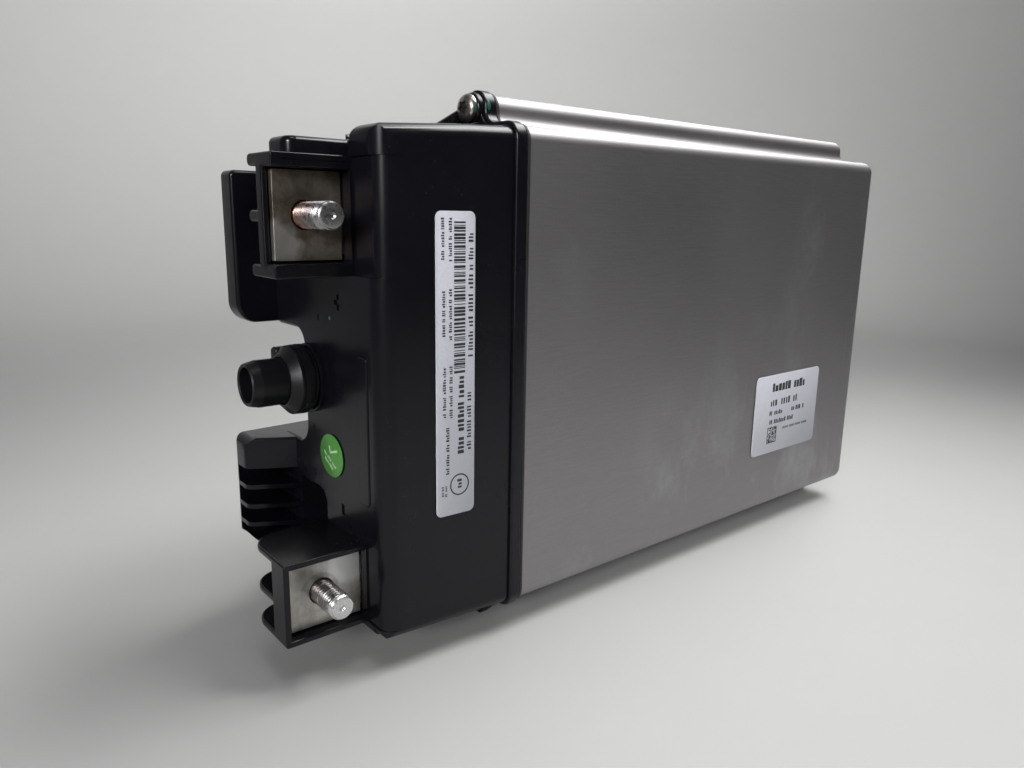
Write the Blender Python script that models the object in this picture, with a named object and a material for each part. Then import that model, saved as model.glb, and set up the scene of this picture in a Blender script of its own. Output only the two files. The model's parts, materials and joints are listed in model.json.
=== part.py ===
"""Low-voltage lithium-ion battery pack in an extruded can with a moulded terminal cover.

Every size is in metres. The design is drawn in case coordinates: X runs from the seam between
the cover and the can towards the can's closed end, Y runs from the near side face to the far
one, and Z runs up from a datum just above the can's floor. The cover lies at negative X.
"""
import math

import bmesh
import bpy
from mathutils import Matrix, Vector

MM = 0.001
GAP = 0.3 * MM

# The can: a deep box with one screw ridge on top and two below
CAN_LENGTH = 225 * MM
CAN_FLOOR = -2.2 * MM
CAN_ROOF = 159 * MM
CAN_DEPTH = 94 * MM
CAN_WALL = 2.2 * MM
CAN_EDGE = 5 * MM
RIDGE_RISE = 10.5 * MM
RIDGE_RADIUS = 5 * MM
RIDGE_NEAR = 21 * MM
RIDGE_FAR = CAN_DEPTH - RIDGE_NEAR
SOLE_DROP = 9.8 * MM

# The cover
LIP = 1 * MM
LIP_BACK = -0.8 * MM
LIP_FRONT = -6.6 * MM
BASE_FRONT = -23 * MM
FACE = -53 * MM
COVER_WALL = 3 * MM
FACE_NEAR = 2.2 * MM
FACE_BOTTOM = -0.4 * MM
FACE_TOP = 155.5 * MM
TOWER_FAR = 17.6 * MM
TOWER_EDGE = 6 * MM
TOWER_ROOT = BASE_FRONT + 1 * MM
TOWER_ROOT_NEAR = 0.9 * MM
SHOULDER_TOP = 152 * MM
SCALLOP_FAR = 53.4 * MM
LUG_FAR = 74.6 * MM
UPPER_LUG_BOTTOM = 92.5 * MM
LOWER_LUG_TOP = 53 * MM
LOWER_LUG_BOTTOM = 38.6 * MM
POCKET_EDGE = 40.8 * MM

# Terminal trays: near plane, outer end and height of each, and the plate that lies in it
PLATE_THICKNESS = 3 * MM
TAIL_STEP = 0.6 * MM
TAIL_END = -44 * MM
TRAY_WALL = 2 * MM
POSITIVE_TRAY_WALL = 4 * MM
POSITIVE_TRAY_Y = 17.6 * MM
POSITIVE_TRAY_X = -76.7 * MM
POSITIVE_TRAY_Z = (112.7 * MM, 147.2 * MM)
POSITIVE_PLATE_Y = 22.9 * MM
POSITIVE_PLATE_Z = (117.3 * MM, 142.9 * MM)
POSITIVE_STUD = (-64.9 * MM, 130.3 * MM)
POSITIVE_STUD_LENGTH = 17.4 * MM
NEGATIVE_TRAY_Y = 13.7 * MM
NEGATIVE_TRAY_X = -80.3 * MM
NEGATIVE_TRAY_Z = (2.2 * MM, 29.1 * MM)
NEGATIVE_PLATE_Y = 17.6 * MM
NEGATIVE_PLATE_Z = (4.7 * MM, 26.5 * MM)
NEGATIVE_STUD = (-66.6 * MM, 15.8 * MM)
NEGATIVE_STUD_LENGTH = 14 * MM
STUD_RADIUS = 4 * MM

# The vent nozzle
VENT_Y = 48.5 * MM
VENT_Z = 77 * MM
VENT_TIP = -75.6 * MM
VENT_RADIUS = 7.7 * MM
VENT_BORE = 5.8 * MM
COLLAR_RADIUS = 11.6 * MM
VALVE_LIFT = 2.5 * MM

# The cell stack
CELL_COUNT = 14
CELL_PITCH = 5.6 * MM
CELL_THICKNESS = 5 * MM
CELL_X = (12 * MM, 212 * MM)
CELL_Z = (10 * MM, 149 * MM)
STACK_MIDDLE = CAN_DEPTH / 2

# The contactor
CONTACTOR_X = -36 * MM
CONTACTOR_Y = 22 * MM
CONTACTOR_FLOOR = 62 * MM
CONTACTOR_TRAVEL = 2 * MM

# The whole row: centred in plan, standing on its lower ridges
ROW_ORIGIN = Vector(((CAN_LENGTH + NEGATIVE_TRAY_X) / 2, CAN_DEPTH / 2, CAN_FLOOR - SOLE_DROP))

for old in list(bpy.data.objects):
    bpy.data.objects.remove(old, do_unlink=True)

seam = bpy.data.objects.new("seam", None)
seam.location = -ROW_ORIGIN
bpy.context.scene.collection.objects.link(seam)


# Materials -----------------------------------------------------------------------------------

def material(name, color, roughness, metallic=0.0):
    made = bpy.data.materials.new(name)
    made.use_nodes = True
    shader = made.node_tree.nodes["Principled BSDF"]
    shader.inputs["Base Color"].default_value = (*color, 1.0)
    shader.inputs["Roughness"].default_value = roughness
    shader.inputs["Metallic"].default_value = metallic
    return made


ALUMINIUM = material("satin_aluminium", (0.56, 0.55, 0.54), 0.38, 1.0)
BLACK_PLASTIC = material("black_plastic", (0.018, 0.018, 0.02), 0.35)
BLACK_RUBBER = material("black_rubber", (0.012, 0.012, 0.012), 0.7)
STEEL = material("stainless_steel", (0.55, 0.53, 0.50), 0.3, 1.0)
TINNED_COPPER = material("tinned_copper", (0.50, 0.46, 0.40), 0.35, 1.0)
COPPER = material("copper", (0.72, 0.38, 0.24), 0.35, 1.0)
PAPER = material("white_label", (0.82, 0.82, 0.82), 0.5)
GREEN_PAPER = material("green_sticker", (0.16, 0.42, 0.12), 0.5)
CELL_FOIL = material("cell_foil", (0.60, 0.60, 0.62), 0.3, 1.0)
FOAM = material("grey_foam", (0.12, 0.12, 0.13), 0.9)
WHITE_PLASTIC = material("white_plastic", (0.7, 0.7, 0.68), 0.5)
BOARD = material("green_board", (0.02, 0.14, 0.05), 0.45)
MAGNET_WIRE = material("coil_winding", (0.42, 0.16, 0.06), 0.4, 0.6)
FUSE_BODY = material("fuse_ceramic", (0.78, 0.76, 0.70), 0.4)


# Mesh helpers --------------------------------------------------------------------------------

def finish_mesh(name, bm, look, location=(0, 0, 0)):
    """Turn a bmesh in case coordinates into a named object; location becomes its origin."""
    bmesh.ops.translate(bm, verts=bm.verts, vec=-Vector(location))
    bmesh.ops.recalc_face_normals(bm, faces=bm.faces)
    mesh = bpy.data.meshes.new(name)
    bm.to_mesh(mesh)
    bm.free()
    mesh.materials.append(look)
    return add_object(name, mesh, location)


def add_object(name, mesh, location=(0, 0, 0)):
    made = bpy.data.objects.new(name, mesh)
    made.parent = seam
    made.location = location
    bpy.context.scene.collection.objects.link(made)
    return made


def smooth(obj):
    obj.data.shade_smooth()
    obj.data.set_sharp_from_angle(angle=math.radians(35))
    return obj


def placed(axis, along, u, v):
    """The 3-D point at (u, v) across the given axis and at a distance along it."""
    order = {"X": (along, u, v), "Y": (u, along, v), "Z": (u, v, along)}
    return order[axis]


def fill_between(bm, rings):
    """Join a stack of equal rings of vertices with quads and close both ends."""
    for lower, upper in zip(rings, rings[1:]):
        for i in range(len(lower)):
            j = (i + 1) % len(lower)
            bm.faces.new((lower[i], lower[j], upper[j], upper[i]))
    bm.faces.new(rings[0])
    bm.faces.new(rings[-1])


def loft(name, rings, look):
    """A closed solid through rings of 3-D points."""
    bm = bmesh.new()
    fill_between(bm, [[bm.verts.new(point) for point in ring] for ring in rings])
    return finish_mesh(name, bm, look)


def prism(name, axis, low, high, outline, look):
    """An outline of (u, v) points extruded along an axis."""
    rings = [[placed(axis, along, u, v) for u, v in outline] for along in (low, high)]
    return loft(name, rings, look)


def box(name, low, high, look):
    outline = [(low[1], low[2]), (high[1], low[2]), (high[1], high[2]), (low[1], high[2])]
    return prism(name, "X", low[0], high[0], outline, look)


def turned(name, axis, centre, profile, look, steps=32, hollow=False, location=(0, 0, 0)):
    """A profile of (along, radius) points spun about an axis; hollow joins its ends."""
    bm = bmesh.new()
    rings = []
    for along, radius in profile:
        ring = []
        for i in range(steps):
            angle = 2 * math.pi * i / steps
            u = centre[0] + radius * math.cos(angle)
            v = centre[1] + radius * math.sin(angle)
            ring.append(bm.verts.new(placed(axis, along, u, v)))
        rings.append(ring)
    if hollow:
        for lower, upper in zip(rings, rings[1:] + rings[:1]):
            for i in range(steps):
                j = (i + 1) % steps
                bm.faces.new((lower[i], lower[j], upper[j], upper[i]))
    else:
        fill_between(bm, rings)
    return smooth(finish_mesh(name, bm, look, location))


def spring(name, axis, centre, low, high, radius, wire, turns, look):
    """A round-wire compression spring with its ends closed flat by the wire itself."""
    steps_a_turn = 14
    sides = 6
    bm = bmesh.new()
    rings = []
    count = turns * steps_a_turn
    rise = high - low - 2 * wire
    for i in range(count + 1):
        angle = 2 * math.pi * i / steps_a_turn
        along = low + wire + rise * i / count
        ring = []
        for k in range(sides):
            side = 2 * math.pi * k / sides
            r = radius + wire * math.cos(side)
            u = centre[0] + r * math.cos(angle)
            v = centre[1] + r * math.sin(angle)
            ring.append(bm.verts.new(placed(axis, along + wire * math.sin(side), u, v)))
        rings.append(ring)
    fill_between(bm, rings)
    return smooth(finish_mesh(name, bm, look))


def arc(centre, radius, start, end, steps=5):
    """Points on an arc from one angle to another, in degrees."""
    angles = [math.radians(start + (end - start) * i / steps) for i in range(steps + 1)]
    return [(centre[0] + radius * math.cos(a), centre[1] + radius * math.sin(a)) for a in angles]


def rounded(low_u, high_u, low_v, high_v, radius, steps=4):
    """A rectangle with rounded corners."""
    return (
        arc((low_u + radius, low_v + radius), radius, 180, 270, steps)
        + arc((high_u - radius, low_v + radius), radius, 270, 360, steps)
        + arc((high_u - radius, high_v - radius), radius, 0, 90, steps)
        + arc((low_u + radius, high_v - radius), radius, 90, 180, steps)
    )


def boolean(target, operation, tools):
    """Add one exact Boolean per tool; the tools themselves stay out of the build."""
    for tool in tools:
        tool.hide_render = True
        tool.display_type = "WIRE"
        cut = target.modifiers.new(tool.name, "BOOLEAN")
        cut.object = tool
        cut.operation = operation
        cut.solver = "EXACT"
    return target


# The case's cross-section --------------------------------------------------------------------

def ridge(middle, level, up, grow):
    """One ridge from its left foot to its right foot, seen with its crest upwards.

    A concave fillet leads from the flat into a round lobe; a lower ridge has a flat sole.
    """
    radius = RIDGE_RADIUS + grow
    fillet = RIDGE_RADIUS - grow
    centre_v = RIDGE_RISE - RIDGE_RADIUS
    fillet_v = grow + fillet
    reach = math.sqrt((radius + fillet) ** 2 - (centre_v - fillet_v) ** 2)
    lean = math.degrees(math.atan2(fillet_v - centre_v, reach))
    left = arc((middle - reach, fillet_v), fillet, -90, -lean, 4)
    right = arc((middle + reach, fillet_v), fillet, 180 + lean, 270, 4)
    crest = arc((middle, centre_v), radius, 180 - lean, lean, 10)[1:-1]
    if not up:
        half = math.sqrt(radius ** 2 - (SOLE_DROP - centre_v) ** 2)
        crest = [p for p in crest if p[1] < SOLE_DROP - 0.1 * MM]
        turn = len(crest) // 2
        sole = [(middle - half, SOLE_DROP), (middle + half, SOLE_DROP)]
        crest = crest[:turn] + sole + crest[turn:]
    points = left + crest + right
    side = 1 if up else -1
    return [(u, level + side * v) for u, v in points]


def case_outline(grow=0.0):
    """The can's outline in (y, z), anticlockwise from the near lower corner."""
    edge = CAN_EDGE + grow
    low, high = -grow, CAN_DEPTH + grow
    floor, roof = CAN_FLOOR - grow, CAN_ROOF + grow
    outline = arc((low + edge, floor + edge), edge, 180, 270, 4)
    outline += ridge(RIDGE_NEAR, CAN_FLOOR, False, grow)
    outline += ridge(RIDGE_FAR, CAN_FLOOR, False, grow)
    outline += arc((high - edge, floor + edge), edge, 270, 360, 4)
    outline += arc((high - edge, roof - edge), edge, 0, 90, 4)
    outline += ridge(RIDGE_NEAR, CAN_ROOF, True, grow)[::-1]
    outline += arc((low + edge, roof - edge), edge, 90, 180, 4)
    return outline


SCREW_PLACES = {
    "cover_screw_top": (RIDGE_NEAR, CAN_ROOF + RIDGE_RISE - RIDGE_RADIUS),
    "cover_screw_bottom_near": (RIDGE_NEAR, CAN_FLOOR + RIDGE_RADIUS - RIDGE_RISE),
    "cover_screw_bottom_far": (RIDGE_FAR, CAN_FLOOR + RIDGE_RADIUS - RIDGE_RISE),
}
SCREW_RADIUS = 2 * MM
SCREW_HEAD_RADIUS = 3.8 * MM
SCREW_HEAD_HEIGHT = 2.7 * MM
SCREW_DEPTH = 14 * MM


def can_housing():
    seat = 0.5 * MM
    rounding = 6 * MM
    can = prism("can_housing", "X", seat, CAN_LENGTH - rounding, case_outline(), ALUMINIUM)
    rings = []
    for i in range(6):
        angle = math.radians(18 * i)
        inset = rounding * (1 - math.cos(angle))
        along = CAN_LENGTH - rounding + rounding * math.sin(angle)
        section = rounded(inset, CAN_DEPTH - inset, CAN_FLOOR + inset, CAN_ROOF - inset,
                          max(CAN_EDGE - inset, 0.5 * MM))
        rings.append([(along, y, z) for y, z in section])
    rings.insert(0, [(CAN_LENGTH - 2 * rounding, y, z) for _, y, z in rings[0]])
    end_cap = loft("can_end", rings, ALUMINIUM)
    hollow = prism("can_hollow", "X", -1 * MM, CAN_LENGTH - CAN_WALL,
                   rounded(CAN_WALL, CAN_DEPTH - CAN_WALL, CAN_FLOOR + CAN_WALL,
                           CAN_ROOF - CAN_WALL, CAN_EDGE - CAN_WALL), ALUMINIUM)
    bores = [
        turned(f"bore_{name}", "X", place, [(-1 * MM, SCREW_RADIUS + GAP),
                                            (SCREW_DEPTH + 2 * MM, SCREW_RADIUS + GAP)],
               ALUMINIUM, 16)
        for name, place in SCREW_PLACES.items()
    ]
    boolean(can, "UNION", [end_cap])
    boolean(can, "DIFFERENCE", [hollow, *bores])


def cover_gasket():
    ring = prism("cover_gasket", "X", -0.5 * MM, 0.2 * MM, case_outline(-0.2 * MM), BLACK_RUBBER)
    inside = prism("gasket_window", "X", -2 * MM, 2 * MM,
                   rounded(4 * MM, CAN_DEPTH - 4 * MM, CAN_FLOOR + 4 * MM, CAN_ROOF - 4 * MM,
                           3 * MM), BLACK_RUBBER)
    holes = [
        turned(f"gasket_{name}", "X", place, [(-2 * MM, SCREW_RADIUS + GAP),
                                              (2 * MM, SCREW_RADIUS + GAP)], BLACK_RUBBER, 16)
        for name, place in SCREW_PLACES.items()
    ]
    boolean(ring, "DIFFERENCE", [inside, *holes])


def cover_screws():
    seat = LIP_FRONT - GAP
    profile = [
        (seat - SCREW_HEAD_HEIGHT, 2.6 * MM),
        (seat - 0.8 * SCREW_HEAD_HEIGHT, 3.4 * MM),
        (seat - 0.4 * SCREW_HEAD_HEIGHT, SCREW_HEAD_RADIUS),
        (seat, SCREW_HEAD_RADIUS),
        (seat, SCREW_RADIUS),
        (SCREW_DEPTH, SCREW_RADIUS),
        (SCREW_DEPTH + 1 * MM, 1.2 * MM),
    ]
    for name, place in SCREW_PLACES.items():
        screw = turned(name, "X", place, profile, STEEL, 20)
        recess = [
            (place[0] + radius * math.cos(math.radians(30 * i)),
             place[1] + radius * math.sin(math.radians(30 * i)))
            for i, radius in enumerate((1.9 * MM, 1.35 * MM) * 6)
        ]
        lobe = prism(f"{name}_recess", "X", seat - 2 * SCREW_HEAD_HEIGHT,
                     seat - 0.45 * SCREW_HEAD_HEIGHT, recess, STEEL)
        boolean(screw, "DIFFERENCE", [lobe])


# The cover -----------------------------------------------------------------------------------

def face_outline():
    """The front face beside the tower, in (y, z): two lugs, the scallop and a pocket."""
    return (
        [(TOWER_FAR / 2, FACE_BOTTOM)]
        + arc((POCKET_EDGE - 3 * MM, FACE_BOTTOM + 3 * MM), 3 * MM, 270, 360, 3)
        + arc((POCKET_EDGE + 4.6 * MM, LOWER_LUG_BOTTOM - 4.6 * MM), 4.6 * MM, 180, 90, 3)
        + arc((LUG_FAR - 3 * MM, LOWER_LUG_BOTTOM + 3 * MM), 3 * MM, 270, 360, 3)
        + arc((LUG_FAR - 3 * MM, LOWER_LUG_TOP - 3 * MM), 3 * MM, 0, 90, 3)
        + arc((SCALLOP_FAR + 7 * MM, LOWER_LUG_TOP + 7 * MM), 7 * MM, 270, 180, 4)
        + arc((SCALLOP_FAR + 6 * MM, UPPER_LUG_BOTTOM - 6 * MM), 6 * MM, 180, 90, 4)
        + arc((LUG_FAR - 2 * MM, UPPER_LUG_BOTTOM + 2 * MM), 2 * MM, 270, 360, 3)
        + arc((LUG_FAR - 4 * MM, SHOULDER_TOP - 4 * MM), 4 * MM, 0, 90, 3)
        + [(TOWER_FAR / 2, SHOULDER_TOP)]
    )


def tower():
    """The near strip of the cover, drafted out towards the base, its front edge rounded."""
    rings = []
    for along, near, far, foot, top in (
        (FACE, FACE_NEAR, TOWER_FAR, FACE_BOTTOM, FACE_TOP),
        (TOWER_ROOT, TOWER_ROOT_NEAR, TOWER_FAR + 2 * MM, -1.2 * MM, CAN_ROOF - 1.4 * MM),
        (LIP_FRONT + 1 * MM, 0.3 * MM, TOWER_FAR + 3 * MM, -1.6 * MM, CAN_ROOF - 0.8 * MM),
    ):
        outline = rounded(near, far, foot, top, 4 * MM)
        rings.append([(along, y, z) for y, z in outline])
    body = loft("cover_tower", rings, BLACK_PLASTIC)
    edge = arc((FACE + TOWER_EDGE, FACE_NEAR - 0.3 * MM + TOWER_EDGE), TOWER_EDGE, 180, 270, 6)
    plan = edge + [(-30 * MM, -1 * MM), (0, -1 * MM), (0, 30 * MM), (FACE, 30 * MM)]
    trim = prism("tower_trim", "Z", -5 * MM, CAN_ROOF + 5 * MM, plan, BLACK_PLASTIC)
    return boolean(body, "INTERSECT", [trim])


def tray(name, near, outer, low, high, back, rib_far, ribs, wall):
    """A terminal tray: an E-shaped section in (y, z), run out from the front face."""
    floor = back - TRAY_WALL
    section = [(near, high)]
    for rib_low, rib_high in sorted(ribs, reverse=True):
        section += [(back, rib_high), (rib_far, rib_high), (rib_far, rib_low), (back, rib_low)]
    section = [p for i, p in enumerate(section) if i != 1]
    section = section[:-1] + [(near, low)]
    section += [(near, low + wall), (floor, low + wall)]
    section += [(floor, high - wall), (near, high - wall)]
    return prism(name, "X", outer, FACE + 1 * MM, section, BLACK_PLASTIC)


def cover_additions():
    """Everything that stands on, behind and beside the cover's front face."""
    base = loft("cover_base", [
        [(BASE_FRONT, y, z) for y, z in
         rounded(1.2 * MM, CAN_DEPTH - 1.2 * MM, -1.1 * MM, CAN_ROOF - 1.4 * MM, 6 * MM)],
        [(LIP_FRONT + 0.5 * MM, y, z) for y, z in
         rounded(0.4 * MM, CAN_DEPTH - 0.4 * MM, -1.7 * MM, CAN_ROOF - 0.5 * MM, 5.5 * MM)],
    ], BLACK_PLASTIC)
    lip = prism("cover_lip", "X", LIP_FRONT, LIP_BACK, case_outline(LIP), BLACK_PLASTIC)
    positive = tray("positive_tray", POSITIVE_TRAY_Y, POSITIVE_TRAY_X, *POSITIVE_TRAY_Z,
                    28.2 * MM, 34.4 * MM,
                    [(112.7 * MM, 116.2 * MM), (128.3 * MM, 131.5 * MM), (143.7 * MM, 147.2 * MM)],
                    POSITIVE_TRAY_WALL)
    positive_end = box("positive_end", (POSITIVE_TRAY_X, 24.4 * MM, POSITIVE_TRAY_Z[0]),
                       (POSITIVE_TRAY_X + TRAY_WALL, 27 * MM, POSITIVE_TRAY_Z[1]), BLACK_PLASTIC)
    shoulder = prism("shoulder_block", "Z", POSITIVE_TRAY_Z[1] - 1 * MM, SHOULDER_TOP - 0.2 * MM,
                     rounded(-72 * MM, FACE + 8 * MM, 18.2 * MM, 32 * MM, 3 * MM), BLACK_PLASTIC)
    negative = tray("negative_tray", NEGATIVE_TRAY_Y, NEGATIVE_TRAY_X, *NEGATIVE_TRAY_Z,
                    22.9 * MM, 24 * MM,
                    [(2.2 * MM, 4.2 * MM), (14 * MM, 16 * MM), (27.1 * MM, 29.1 * MM)], TRAY_WALL)
    negative_end = box("negative_end", (NEGATIVE_TRAY_X, NEGATIVE_TRAY_Y, NEGATIVE_TRAY_Z[0]),
                       (NEGATIVE_TRAY_X + TRAY_WALL, 21.5 * MM, NEGATIVE_TRAY_Z[1]), BLACK_PLASTIC)
    wing_plan = [(FACE + 1 * MM, 22 * MM), (FACE + 1 * MM, POCKET_EDGE - 0.3 * MM)]
    wing_plan += arc((NEGATIVE_TRAY_X + 9 * MM, POCKET_EDGE - 9.3 * MM), 9 * MM, 90, 180, 4)
    wing_plan += [(NEGATIVE_TRAY_X, 22 * MM)]
    wings = [
        prism(f"negative_wing_{i}", "Z", low, high, wing_plan, BLACK_PLASTIC)
        for i, (low, high) in enumerate(((2.2 * MM, 4.2 * MM), (14 * MM, 16 * MM),
                                         (27.1 * MM, 29.1 * MM)))
    ]
    plate_outline = arc((-67 * MM + 7 * MM, 93 * MM + 7 * MM), 7 * MM, 270, 180, 4)
    plate_outline += [(-67 * MM, 144.6 * MM), (BASE_FRONT + 1 * MM, 144.6 * MM)]
    plate_outline += [(BASE_FRONT + 1 * MM, 93 * MM)]
    plate = prism("far_plate", "Y", LUG_FAR - 0.2 * MM, 83.8 * MM, plate_outline, BLACK_PLASTIC)
    fin_plan = [(BASE_FRONT + 1 * MM, 60 * MM), (FACE + 0.5 * MM, 62.6 * MM),
                (-68.4 * MM, 71.4 * MM), (-68.4 * MM, 82 * MM), (BASE_FRONT + 1 * MM, 84 * MM)]
    fins = prism("fin_block", "Z", 13.2 * MM, LOWER_LUG_TOP - 0.3 * MM, fin_plan, BLACK_PLASTIC)
    fin_side = [(0, 10 * MM), (0, 60 * MM), (-55 * MM, 60 * MM), (-55 * MM, LOWER_LUG_TOP - 0.3 * MM)]
    fin_side += arc((-68.4 * MM + 4.5 * MM, LOWER_LUG_TOP - 4.8 * MM), 4.5 * MM, 90, 180, 4)
    fin_side += [(-68.4 * MM, 16.5 * MM), (-65 * MM, 13.2 * MM), (-55 * MM, 10 * MM)]
    fin_trim = prism("fin_trim", "Y", 50 * MM, 90 * MM, fin_side, BLACK_PLASTIC)
    boolean(fins, "INTERSECT", [fin_trim])
    boss = turned("vent_boss", "X", (VENT_Y, VENT_Z),
                  [(-54.8 * MM, COLLAR_RADIUS), (BASE_FRONT + 1 * MM, COLLAR_RADIUS)],
                  BLACK_PLASTIC)
    gusset = loft("screw_gusset", [
        [(-48 * MM, 24.6 * MM, 152 * MM), (-48 * MM, 29 * MM, 152 * MM), (-48 * MM, 29 * MM, 154.2 * MM)],
        [(LIP_FRONT + 1 * MM, 24.6 * MM, 152 * MM), (LIP_FRONT + 1 * MM, 31 * MM, 152 * MM),
         (LIP_FRONT + 1 * MM, 29 * MM, 162.5 * MM)],
    ], BLACK_PLASTIC)
    return [tower(), base, lip, positive, positive_end, shoulder, negative, negative_end, *wings, plate,
            fins, boss, gusset]


def cover_cuts():
    """Hollows, slots and holes of the cover."""
    cuts = []

    def hollow(name, low, high, radius=2 * MM):
        outline = rounded(low[1], high[1], low[2], high[2], radius, 3)
        cuts.append(prism(name, "X", low[0], high[0], outline, BLACK_PLASTIC))

    inner_front = FACE + COVER_WALL
    inner_step = BASE_FRONT + COVER_WALL
    hollow("base_hollow", (inner_step, 4 * MM, 2 * MM), (1 * MM, 90 * MM, 155 * MM), 3 * MM)
    hollow("box_hollow", (inner_front, 5.2 * MM, 41.6 * MM),
           (inner_step + 1 * MM, 50.4 * MM, 149 * MM))
    hollow("foot_hollow", (inner_front, 5.2 * MM, 3.4 * MM),
           (inner_step + 1 * MM, 37.8 * MM, 44 * MM))
    hollow("lug_hollow", (inner_front, 49 * MM, 95.5 * MM),
           (inner_step + 1 * MM, 71.6 * MM, 149 * MM))
    hollow("positive_slot", (FACE - 0.5 * MM, POSITIVE_PLATE_Y - GAP, POSITIVE_PLATE_Z[0] - GAP),
           (inner_front + 1 * MM, POSITIVE_PLATE_Y + PLATE_THICKNESS + GAP,
            POSITIVE_PLATE_Z[1] + GAP), 0.2 * MM)
    hollow("negative_slot", (FACE - 0.5 * MM, NEGATIVE_PLATE_Y - GAP, 6.7 * MM),
           (inner_front + 1 * MM, NEGATIVE_PLATE_Y + PLATE_THICKNESS + GAP, 24.3 * MM), 0.2 * MM)
    hollow("signal_hole", (FACE - 1 * MM, 46 * MM, 116 * MM),
           (inner_front + 1 * MM, 60 * MM, 136 * MM), 1 * MM)
    for i, (low, high) in enumerate(((14.8, 19.7), (21.3, 26.5), (28.1, 33.8), (35.4, 41.5))):
        hollow(f"fin_gap_{i}", (-75 * MM, 56 * MM, low * MM), (FACE + 1.5 * MM, 79 * MM, high * MM),
               0.3 * MM)
    axis = (VENT_Y, VENT_Z)
    cuts.append(turned("vent_hole", "X", axis, [(-60 * MM, VENT_RADIUS + GAP),
                                                (-45 * MM, VENT_RADIUS + GAP)], BLACK_PLASTIC))
    cuts.append(turned("vent_well", "X", axis, [(inner_front, 9.4 * MM), (inner_step, 9.4 * MM)],
                       BLACK_PLASTIC))
    for name, place in SCREW_PLACES.items():
        cuts.append(turned(f"ear_{name}", "X", place,
                           [(LIP_FRONT - 2 * MM, SCREW_RADIUS + GAP), (1 * MM, SCREW_RADIUS + GAP)],
                           BLACK_PLASTIC, 16))
    return cuts


def front_cover():
    cover = prism("front_cover", "X", FACE, BASE_FRONT + 1 * MM, face_outline(), BLACK_PLASTIC)
    boolean(cover, "UNION", cover_additions())
    boolean(cover, "DIFFERENCE", cover_cuts())


# Terminals -----------------------------------------------------------------------------------

def terminal(name, plate_y, plate_z, outer, stud, stud_length, tail_z):
    """A tinned plate with a stepped-down tail inside the cover, and its pressed-in stud."""
    back = plate_y + PLATE_THICKNESS
    plate = box(f"{name}_busbar", (outer, plate_y, plate_z[0]), (FACE - GAP, back, plate_z[1]),
                TINNED_COPPER)
    tail = box(f"{name}_tail", (FACE - 2 * MM, plate_y + TAIL_STEP, tail_z[0]),
               (TAIL_END, back, tail_z[1]), TINNED_COPPER)
    bore = turned(f"{name}_bore", "Y", stud, [(plate_y - 1 * MM, STUD_RADIUS + GAP),
                                              (plate_y + 5 * MM, STUD_RADIUS + GAP)],
                  TINNED_COPPER, 24)
    boolean(plate, "UNION", [tail])
    boolean(plate, "DIFFERENCE", [bore])
    tip = plate_y - stud_length
    profile = [
        (tip, STUD_RADIUS - 0.8 * MM), (tip + 0.8 * MM, STUD_RADIUS),
        (back, STUD_RADIUS),
    ]
    turned(f"{name}_stud", "Y", stud, profile, STEEL, 28)


def terminals():
    terminal("positive", POSITIVE_PLATE_Y, POSITIVE_PLATE_Z, POSITIVE_TRAY_X + TRAY_WALL + GAP,
             POSITIVE_STUD, POSITIVE_STUD_LENGTH, (119 * MM, 141 * MM))
    terminal("negative", NEGATIVE_PLATE_Y, NEGATIVE_PLATE_Z, NEGATIVE_TRAY_X + TRAY_WALL + GAP,
             NEGATIVE_STUD, NEGATIVE_STUD_LENGTH, (7 * MM, 24 * MM))


# The vent ------------------------------------------------------------------------------------

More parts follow.
